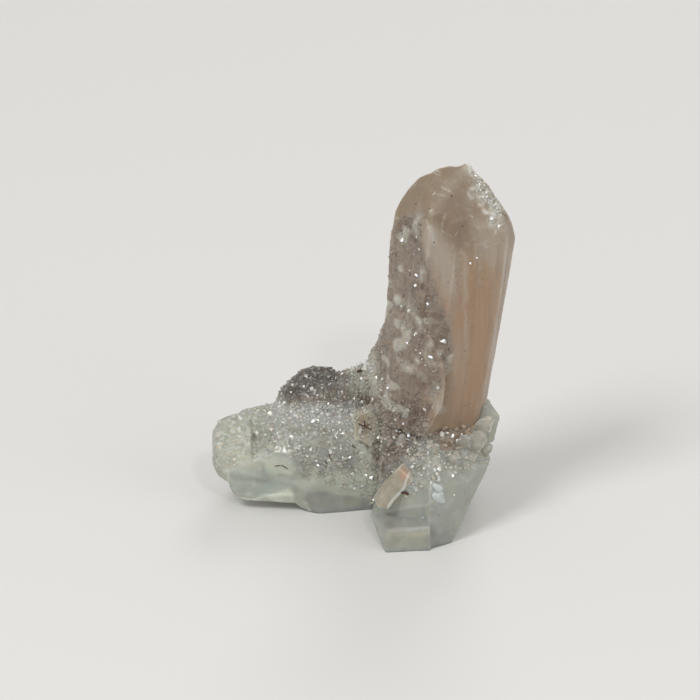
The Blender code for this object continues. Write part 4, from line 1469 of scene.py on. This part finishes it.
def paint_base(mesh, settings, druse):
    """Bands and faces of the glassy base, its edges painted pale as highlights, its veils, and the druse's
    colours.
    """
    paint = Paint(mesh, settings.green, 44)
    points = paint.points
    growth = base_druse(points, paint.normals)
    level = points[:, 2] + 0.3 * points[:, 0]
    bands = np.stack((points[:, 0] * 0.25, points[:, 1] * 0.25, level), axis=1)
    paint.patches(bands, 1.0, (
        (settings.grey, 0.45, 1.6, 45, 0.0, 0.6),
        (settings.yellow, 0.4, 1.9, 46, 0.0, 0.6),
    ))
    zones = (
        (settings.blue, BLUE_FACE, 8.0, 0.8),
        (settings.yellow, ARM_WEDGE, 3.0, 0.8),
        (settings.grey, LUMP_SIDE, 5.0, 0.9),
        # The lump's downward face painted greyer: partly a grey band, partly painted shade
        (settings.grey, LUMP_SHADED_FACE, 3.0, 0.6),
        (settings.yellow, LUMP_YELLOW, 1.5, 0.9),
        (druse.amber, BLADE_END, 7.0, 0.8),
    )
    paint.zones(zones)
    druse_colours(paint, druse, growth)
    # Painted highlights on the outer edges of the glassy faces, and along the edge lines below
    paint.mix(druse.white, 0.3 * edge_share(mesh) * (1.0 - growth))
    highlight_lines = (
        (ARM_RIDGE, 3.5, 0.6), (LUMP_EDGE, 2.5, 0.7), (STEP_EDGE, 2.5, 0.7), (LUMP_CORNER, 2.0, 0.12),
        (LUMP_RIM, 3.0, 0.6), (BLOCK_CURVE, 2.5, 0.7),
    )
    for path, width, strength in highlight_lines:
        paint.line(druse.white, path, width, strength)
    paint.patches(points, (1.0 - growth) * paint.facing, (
        (druse.mauve, 0.22, 1.8, 51, 0.0, 0.6),
        (druse.white, 0.3, 0.7, 52, 0.1, 0.7),
        (settings.grey, 0.3, 0.45, 53, 0.1, 0.6),
    ))
    for veil in VEILS:
        paint.zone(druse.white, veil, 4.0, 0.9)
    paint.patches(points, growth, ((druse.white, 0.3, 0.8, 50, 0.0, 0.7),))
    set_tint(mesh, paint.tint)
    set_value(mesh, "druse", growth)


def build_base(settings, druse):
    """The base, with softer forms under the druse than on its glassy faces."""
    lists = (
        ARM_LOWER, ARM_FOOT, END_BLOCK, ARM_UPPER, BUMP, WALL, CORE, LUMP_RIGHT, LUMP_STEP, LUMP_LEFT,
        RIGHT_SPUR, *BACK_BLOCKS,
    )
    bodies = [hull(moved(corners)) for corners in lists]
    mesh = grown_together("glassy_base", bodies, settings.grain)
    points = smoothed(mesh, points_of(mesh), 4)
    soft = base_druse(points, normals_of(mesh))[:, None]
    set_points(mesh, (1.0 - soft) * points + soft * smoothed(mesh, points, 25))
    base_relief(mesh, settings)
    paint_base(mesh, settings, druse)
    finished(mesh, glass_material())


# Small pieces: salmon blade, brownish block, clear blades, and what lies in and on the crystals

# Pixels of the photograph where something small shows, some with its size
# Places of white crystals that stand for glints: painted glints, also turned towards the key lamp
BRIGHT_GLINTS = (
    (442, 341, 1.5), (402, 241, 1.3), (416, 276, 1.0), (415, 286, 1.0), (427, 304, 0.9), (415, 335, 0.8),
    (407, 343, 0.8), (430, 357, 1.2), (420, 353, 0.6), (377, 378, 1.1), (388, 388, 0.7), (409, 435, 1.4),
    (405, 413, 1.0), (453, 436, 1.1), (458, 441, 1.1), (440, 470, 0.9), (453, 476, 0.9), (438, 487, 0.9),
    (372, 478, 1.4), (366, 476, 0.9), (313, 422, 1.2), (318, 421, 0.8), (291, 437, 0.9), (252, 446, 0.9),
    (253, 453, 0.8), (350, 458, 0.8), (318, 466, 0.9), (342, 392, 0.6), (469, 264, 0.7), (475, 259, 0.6),
    (497, 228, 0.9), (490, 220, 1.0), (495, 208, 0.8), (478, 186, 0.8), (474, 178, 0.7), (374, 501, 0.9),
    (454, 495, 0.5), (341, 449, 0.6),
)
DARK_SPECKS = (
    (428, 211), (450, 198), (456, 204), (456, 218), (461, 228), (466, 242), (419, 179), (415, 206),
    (400, 222), (404, 226), (401, 232), (398, 236), (391, 300), (390, 285), (447, 335), (447, 344),
    (448, 349), (446, 352), (425, 325), (427, 330), (430, 333), (387, 356), (389, 345), (413, 394),
    (418, 396), (408, 393), (300, 377), (315, 365), (293, 380), (316, 382), (326, 372), (303, 367),
    (333, 383), (312, 376), (387, 427), (388, 431), (450, 446), (455, 449), (437, 505), (439, 515),
    (327, 411), (298, 372), (364, 355), (392, 399), (400, 214), (408, 220), (420, 227), (395, 233),
    (414, 226), (433, 244), (416, 283), (397, 241), (403, 219), (411, 216),
)
WHITE_DOTS = (
    (219, 441), (224, 436), (232, 425), (246, 413), (260, 410), (238, 448), (219, 462), (300, 395),
)
DARK_HOLE = ((357, 372), (363, 370))
HAIRS = (
    ((274, 467), (281, 466), (288, 470)), ((329, 455), (330, 459), (333, 463)), ((323, 464), (326, 468)),
    ((325, 461), (327, 465)), ((352, 446), (356, 449)),
)
STAR = (365, 427)
STAR_RAYS = ((358, 424), (364, 420), (372, 430), (362, 432), (370, 424))
INCLUSION = ((401, 493), (405, 492), (409, 495))
# Clear blades as the photograph shows them: share of length and width, shift towards the camera
CLEAR_SHARES = (
    (0.95, 0.9, -0.5), (1.5, 1.25, 0.9), (1.15, 1.2, 0.2), (1.0, 0.7, 0.0), (1.0, 0.8, 0.0), (1.0, 0.6, 0.0),
)
CLEAR_THICKNESS = 0.6
HIGHLIGHT_RIMMED_BLADES = 3
RIM_STEPS = 18
RIM_WIDTH = 0.15
SALMON_SHARE = 0.87
SALMON_SHIFT = Vector((-0.7, 0.0, 0.0))
VEIL_BLOBS = (
    ((439, 499), 1.3), ((435, 496), 1.0), ((443, 501), 0.9), ((441, 495), 1.0), ((438, 488), 0.9),
    ((435, 486), 0.7), ((441, 489), 0.6),
)
# A line of bright crystals put where a glint shows: a painted glint
GLINT_WIGGLE = ((434, 468), (436, 472), (438, 476), (439, 482))
WALL_TIPS = ((353, 366, 0.5), (357, 364, 0.6), (361, 362, 0.8), (366, 361, 0.9), (370, 364, 0.6))
SMALL_BLADES = (
    ((404, 418), (409, 408), 1.0), ((398, 446), (404, 434), 1.0), ((471, 462), (476, 450), 1.2),
)
# Towards the key lamp from the middle of the specimen, so that the brightest crystals catch its light
KEY_PLACE = (-0.35, -0.35, 0.65)
MIDDLE_HEIGHT = 25.0


def rounded(name, bodies, cell, colour, highlight_colour, edges, seed, rim_height=0.01, uneven=0.12):
    """Small crystals with softly rounded edges painted paler as highlights, and a slightly uneven skin."""
    mesh = grown_together(name, bodies, cell)
    points = smoothed(mesh, points_of(mesh), 2)
    set_points(mesh, points)
    points = points + normals_of(mesh) * (uneven * soft_noise(points, 1.6, seed))[:, None]
    set_points(mesh, points)
    paint = Paint(mesh, colour, seed)
    paint.brighten(1.0 + 0.12 * soft_noise(points, 1.1, seed) + 0.1 * soft_noise(points, 0.5, seed + 1))
    # Painted highlights on the convex edges
    paint.mix(highlight_colour, edges * edge_share(mesh, 5, rim_height, 3.0 * rim_height))
    set_tint(mesh, paint.tint)
    return mesh, paint


def shrunk(corners, share, shift):
    """Corners drawn in towards their middle, and shifted."""
    middle = sum((Vector(corner) for corner in corners), Vector()) / len(corners)
    return [tuple(middle + shift + share * (Vector(corner) - middle)) for corner in corners]


def turned(corners, axis, spin, place):
    """Corners turned so that Z follows the axis, spun about it and moved to the place."""
    turn = axis.to_track_quat("Z", "Y").to_matrix() @ Matrix.Rotation(spin, 3, "Z")
    return [tuple(turn @ Vector(corner) + place) for corner in corners]


def flat_towards_camera(corners, foot, tip):
    """Corners of a flat crystal from foot to tip, with its broad side towards the camera."""
    along = (tip - foot).normalized()
    across = along.cross(Vector(TOWARDS_CAMERA)).normalized()
    thin = across.cross(along)
    turn = Matrix((across, thin, along)).transposed()
    return [tuple(turn @ Vector(corner) + foot) for corner in corners]


def flat_crystal(width, thickness, length):
    """Corners of a flat six-sided crystal with a rounded end, standing on Z."""
    levels = ((0.6, 0.0), (1.0, 0.12), (1.0, 0.75), (0.7, 0.95), (0.4, 1.0))
    return [
        corner for share, height in levels
        for corner in ring(0.5 * share * width, 0.5 * thickness, height * length, 0.0, 8)
    ]


def tinted(mesh, colour, seed, spread=0.12):
    """Gives a small piece its colour, a little lighter and darker from place to place."""
    paint = Paint(mesh, colour, seed)
    paint.brighten(1.0 + spread * soft_noise(paint.points, 1.1, seed))
    set_tint(mesh, paint.tint)


def clear_blades():
    """Foot, tip, width and thickness of the clear blades at the right foot."""
    blades = []
    for (foot, tip, width, thickness), (long_share, wide_share, forward) in zip(CLEAR_BLADES, CLEAR_SHARES):
        foot, tip = (Vector(end) for end in moved((foot, tip)))
        middle = 0.5 * (foot + tip) + forward * Vector(TOWARDS_CAMERA)
        half = 0.5 * long_share * (tip - foot)
        blades.append((middle - half, middle + half, width * wide_share, CLEAR_THICKNESS * thickness))
    return blades


def highlight_rim(foot, tip, width, thickness):
    """Thin bright needles along the outline of a flat crystal that faces the camera, put there as a painted
    highlight rim.
    """
    along = 0.5 * (tip - foot)
    across = along.cross(Vector(TOWARDS_CAMERA)).normalized() * 0.5 * width
    middle = foot + along + Vector(TOWARDS_CAMERA) * 0.5 * thickness
    ends = []
    for step in range(RIM_STEPS + 1):
        angle = step * math.tau / RIM_STEPS
        uneven = 0.82 + 0.06 * math.sin(2.3 * step)
        ends.append(middle + uneven * (along * math.cos(angle) + across * math.sin(angle)))
    needles = [needle(start, end, RIM_WIDTH) for start, end in zip(ends[:-1], ends[1:])]
    return [one for number, one in enumerate(needles) if number % 4]


def build_small_crystals(settings, druse):
    """The salmon blade, the brownish block and the clear blades, each grown from the base."""
    salmon = hull(shrunk(moved(SALMON_CRYSTAL), SALMON_SHARE, SALMON_SHIFT))
    # The salmon blade's edges, and a line along one edge, are painted white as highlights
    mesh, paint = rounded(
        "salmon_crystal", [salmon], settings.cell, settings.salmon, druse.white, edges=0.4, seed=71
    )
    paint.zone(settings.tip_spot, SALMON_SPOT, 4.0, 0.8)
    paint.line(druse.white, SALMON_EDGE, 2.0, 0.7)
    set_tint(mesh, paint.tint)
    finished(mesh, salmon_material())

    block = hull(moved(BROWN_BLOCK))
    # The block's edges are painted paler as highlights
    mesh, paint = rounded(
        "brown_block", [block], settings.cell, settings.block, druse.pale, edges=0.3, seed=72
    )
    paint.mix(druse.pale, 0.4 * (1.0 - inside_share(paint.pixels, BLOCK_FACE, 6.0)))
    paint.patches(paint.points, 1.0, (
        (druse.bump, 0.4, 1.0, 78, 0.0, 0.6),
        (druse.amber, 0.4, 0.6, 79, 0.0, 0.6),
    ))
    # A white line painted along the block's top edge as a highlight
    paint.line(druse.white, BLOCK_TOP, 2.5, 0.8)
    set_tint(mesh, paint.tint)
    finished(mesh, block_material())

    bodies = []
    for foot, tip, width, thickness in clear_blades():
        corners = flat_crystal(width, thickness, (tip - foot).length)
        bodies.append(hull(flat_towards_camera(corners, foot, tip)))
    skin = Skin(BODIES)
    for low, high, width in SMALL_BLADES:
        (foot, normal), (tip, _) = skin.spot(low), skin.spot(high)
        corners = flat_crystal(width, 0.35 * width, (tip - foot).length)
        bodies.append(hull(flat_towards_camera(corners, foot + normal * 0.1, tip + normal * 0.1)))
    # The clear blades' edges are painted white as bright highlight rims
    mesh, _ = rounded(
        "clear_blades", bodies, settings.cell, settings.clear, druse.white, edges=0.9, seed=73,
        rim_height=0.02, uneven=0.03,
    )
    finished(mesh, clear_material())


def needle(start, end, width):
    """A thin six-sided needle between two points, pointed at its ends."""
    length = (end - start).length
    corners = []
    for share in (0.1, 0.8):
        corners += ring(0.5 * width, 0.5 * width, share * length, 0.0, 6)
    corners += [(0.0, 0.0, 0.0), (0.0, 0.0, length)]
    return hull(turned(corners, (end - start).normalized(), 0.0, start))


def pebble(place, normal, width, height, number):
    """A small rounded grain, half sunk into the face that it lies on."""
    corners = ring(0.5 * width, 0.4 * width, 0.0, number, 7)
    for share in (0.4, -0.4):
        corners += ring(0.3 * width, 0.26 * width, share * height, number, 7)
    return hull(turned(corners, normal, 1.7 * number, place))


def build_dark(skin, settings):
    """Specks, needles, the hole beside the wall, the lump's inclusion and the star on the block."""
    needle_width = settings.needle / MM
    raised = 0.25 * needle_width
    dark = []
    for number, pixel in enumerate(DARK_SPECKS):
        point, normal = skin.spot(pixel)
        size = settings.speck / MM * (1.3 + 0.9 * math.sin(2.1 * number))
        dark.append(pebble(point, normal, 1.3 * size, 0.5 * size, number))
    for path in (*HAIRS, DARK_HOLE, INCLUSION):
        width = needle_width * (1.0 if path in HAIRS else 3.0)
        spots = [point + normal * raised for point, normal in (skin.spot(pixel) for pixel in path)]
        for start, end in zip(spots[:-1], spots[1:]):
            dark.append(needle(start, end, width))
    centre, normal = skin.spot(STAR)
    for number, ray in enumerate(STAR_RAYS):
        point, _ = skin.spot(ray)
        width = needle_width * (1.6 - 0.25 * number)
        dark.append(needle(centre + normal * raised, point + normal * raised, width))
    mesh = new_mesh("dark_inclusions", *joined(dark))
    tinted(mesh, settings.dark, seed=74, spread=0.3)
    finished(mesh, dark_material())


def build_white(skin, settings, druse):
    """White grains on the arm, and the white veil in the lump."""
    white = []
    for number, pixel in enumerate(WHITE_DOTS):
        point, normal = skin.spot(pixel)
        white.append(pebble(point, normal, 0.45, 0.25, number))
    for number, (pixel, width) in enumerate(VEIL_BLOBS):
        point, normal = skin.spot(pixel)
        white.append(pebble(point, normal, 1.4 * width, 0.7, number))
    # Edges painted a little whiter as highlights
    mesh, _ = rounded(
        "white_veil", white, settings.cell, settings.veil, druse.white, edges=0.15, seed=75
    )
    finished(mesh, veil_material())


def build_glints_and_tips(skin, settings, druse):
    """Crystals turned to catch the key lamp and tinted white as painted glints, the wall's jagged tips,
    bright needles as painted highlight rims, and a bright wiggle painted as a glint.
    """
    bright = []
    towards_lamp = (Vector(KEY_PLACE) / MM - Vector((0.0, 0.0, MIDDLE_HEIGHT))).normalized()
    halfway = (towards_lamp + Vector(TOWARDS_CAMERA)).normalized()
    for number, (across, down, size) in enumerate(BRIGHT_GLINTS):
        point, _ = skin.spot((across, down))
        width = size * settings.glint / MM
        corners = ring(0.62 * width, 0.4 * width, -0.5 * width)
        corners += ring(0.5 * width, 0.32 * width, 0.2 * width)
        bright.append(hull(turned(corners, halfway, 1.3 * number, point)))
    for number, (across, down, size) in enumerate(WALL_TIPS):
        point, _ = skin.spot((across, down + 3))
        lean = Vector((0.25 * math.sin(3.0 * number), 0.0, 1.0)).normalized()
        corners = ring(0.7 * size, 0.4 * size, -0.8 * size, number, 5)
        corners += ring(0.45 * size, 0.25 * size, 0.3 * size, number, 5)
        corners.append((0.1, 0.0, 0.8 * size))
        bright.append(hull(turned(corners, lean, 0.0, point)))
    # Bright needles round the first clear blades, as painted highlight rims
    for blade in clear_blades()[:HIGHLIGHT_RIMMED_BLADES]:
        bright.extend(highlight_rim(*blade))
    # Bright needles along a line, as a painted glint
    wiggle = [skin.spot(pixel)[0] for pixel in GLINT_WIGGLE]
    for start, end in zip(wiggle[:-1], wiggle[1:]):
        bright.append(needle(start, end, 0.5))
    mesh = new_mesh("bright_crystals", *joined(bright))
    # Tinted white: painted glints and highlight rims, and the wall's tips
    tinted(mesh, druse.white, seed=76)
    finished(mesh, glint_and_tip_material())


def build_inclusions(settings, druse):
    """What lies on and in the crystals, each thing on the surface that shows in its pixel."""
    skin = Skin(BODIES + SMALL_BODIES)
    build_dark(skin, settings)
    build_white(skin, settings, druse)
    build_glints_and_tips(skin, settings, druse)


# Stage

FLOOR_SIDES = 64
VIEW_TARGET = (-1.7, 0.0, 24.5)
LAMPS = (
    ("fill", (0.6, -0.3, 0.3), 0.5, "fill_power"),
    ("back", (0.15, 0.55, 0.45), 0.3, "fill_power"),
    ("glint", (0.12, -0.45, 0.5), 0.05, "glint_power"),
)
KEY_SIZE = 0.24
SENSOR_WIDTH = 36.0
PHOTO_WIDTH = 700.0
CLIP_START = 0.01
FLOOR_ROUGHNESS = 0.7
DAYLIGHT_COLOUR = (1.0, 0.99, 0.97, 1.0)


def build_stage(settings):
    """Floor, daylight, lamps, and the camera at the height from which the photograph was taken."""
    verts = [(0.0, 0.0, 0.0)]
    radius = settings.floor_radius
    for side in range(FLOOR_SIDES):
        angle = side * math.tau / FLOOR_SIDES
        verts.append((radius * math.cos(angle), radius * math.sin(angle), 0.0))
    faces = [(0, side + 1, (side + 1) % FLOOR_SIDES + 1) for side in range(FLOOR_SIDES)]
    floor = bpy.data.objects.new("floor", new_mesh("floor", verts, faces))
    bpy.context.scene.collection.objects.link(floor)
    material = bpy.data.materials.new("pale_floor")
    material.use_nodes = True
    shader = material.node_tree.nodes["Principled BSDF"]
    shader.inputs["Base Color"].default_value = (*settings.floor_colour, 1.0)
    shader.inputs["Roughness"].default_value = FLOOR_ROUGHNESS
    floor.data.materials.append(material)

    scene = bpy.context.scene
    world = bpy.data.worlds.new("daylight")
    world.use_nodes = True
    background = world.node_tree.nodes["Background"]
    background.inputs["Color"].default_value = DAYLIGHT_COLOUR
    background.inputs["Strength"].default_value = settings.daylight
    scene.world = world
    scene.view_settings.view_transform = "Standard"

    target = Vector(VIEW_TARGET) * MM
    for name, place, size, power in (("key", KEY_PLACE, KEY_SIZE, "key_power"), *LAMPS):
        lamp = bpy.data.lights.new(name, "AREA")
        lamp.size = size
        lamp.energy = getattr(settings, power)
        item = bpy.data.objects.new(name, lamp)
        item.location = place
        item.rotation_euler = (target - Vector(place)).to_track_quat("-Z", "Y").to_euler()
        scene.collection.objects.link(item)

    camera_data = bpy.data.cameras.new("photo_camera")
    camera_data.lens = settings.lens
    camera_data.sensor_width = SENSOR_WIDTH
    camera_data.clip_start = CLIP_START
    camera = bpy.data.objects.new("photo_camera", camera_data)
    distance = PHOTO_WIDTH * PHOTO_PIXEL * MM * settings.lens / SENSOR_WIDTH
    camera.location = target + Vector(TOWARDS_CAMERA) * distance
    camera.rotation_euler = (target - camera.location).to_track_quat("-Z", "Y").to_euler()
    scene.collection.objects.link(camera)
    scene.camera = camera


# Operators, panel and registration


class SPECIMEN_OT_stage(bpy.types.Operator):
    """Make the floor, the lamps and the camera"""

    bl_idname = "specimen.stage"
    bl_label = "Stage"

    def execute(self, context):
        build_stage(context.scene.specimen_stage)
        return {"FINISHED"}


class SPECIMEN_OT_blade(bpy.types.Operator):
    """Grow the peach blade with its drusy left flank"""

    bl_idname = "specimen.blade"
    bl_label = "Peach blade"

    def execute(self, context):
        build_blade(context.scene.specimen_blade, context.scene.specimen_druse)
        return {"FINISHED"}


class SPECIMEN_OT_base(bpy.types.Operator):
    """Grow the glassy base: the arm with bump and wall, and the core with the lump"""

    bl_idname = "specimen.base"
    bl_label = "Glassy base"

    def execute(self, context):
        build_base(context.scene.specimen_base, context.scene.specimen_druse)
        return {"FINISHED"}


class SPECIMEN_OT_small_crystals(bpy.types.Operator):
    """Set the salmon blade, the brownish block and the clear blades on the base"""

    bl_idname = "specimen.small_crystals"
    bl_label = "Small crystals"

    def execute(self, context):
        build_small_crystals(context.scene.specimen_details, context.scene.specimen_druse)
        return {"FINISHED"}


class SPECIMEN_OT_druse(bpy.types.Operator):
    """Grow the druse on the blade, the arm, the bump and the back"""

    bl_idname = "specimen.druse"
    bl_label = "Druse"

    def execute(self, context):
        grow_druse(context.scene.specimen_druse)
        return {"FINISHED"}


class SPECIMEN_OT_inclusions(bpy.types.Operator):
    """Set dark specks and needles, the white veil, the white crystals and needles painted as glints and
    highlight rims, and the wall's tips
    """

    bl_idname = "specimen.inclusions"
    bl_label = "Inclusions and glints"

    def execute(self, context):
        build_inclusions(context.scene.specimen_details, context.scene.specimen_druse)
        return {"FINISHED"}


OPERATORS = (
    SPECIMEN_OT_stage, SPECIMEN_OT_blade, SPECIMEN_OT_base, SPECIMEN_OT_small_crystals, SPECIMEN_OT_druse,
    SPECIMEN_OT_inclusions,
)


class SPECIMEN_PT_panel(bpy.types.Panel):
    """Lists the specimen's pieces in the order in which they are made"""

    bl_idname = "SPECIMEN_PT_panel"
    bl_label = "Stilbite specimen"
    bl_space_type = "VIEW_3D"
    bl_region_type = "UI"
    bl_category = "Specimen"

    def draw(self, context):
        for operator in OPERATORS:
            self.layout.operator(operator.bl_idname)
        for name in SETTINGS:
            settings = getattr(context.scene, name)
            box = self.layout.box()
            for key in settings.bl_rna.properties.keys():
                if key not in ("rna_type", "name"):
                    box.prop(settings, key)


SETTINGS = {
    "specimen_blade": SPECIMEN_PG_blade,
    "specimen_base": SPECIMEN_PG_base,
    "specimen_druse": SPECIMEN_PG_druse,
    "specimen_details": SPECIMEN_PG_details,
    "specimen_stage": SPECIMEN_PG_stage,
}
CLASSES = (*SETTINGS.values(), *OPERATORS, SPECIMEN_PT_panel)


def register():
    for cls in CLASSES:
        bpy.utils.register_class(cls)
    for name, group in SETTINGS.items():
        setattr(bpy.types.Scene, name, PointerProperty(type=group))


def unregister():
    for name in SETTINGS:
        delattr(bpy.types.Scene, name)
    for cls in reversed(CLASSES):
        bpy.utils.unregister_class(cls)


def main():
    register()
    bpy.ops.specimen.stage()
    bpy.ops.specimen.blade()
    bpy.ops.specimen.base()
    bpy.ops.specimen.small_crystals()
    bpy.ops.specimen.druse()
    bpy.ops.specimen.inclusions()


if __name__ == "__main__":
    main()
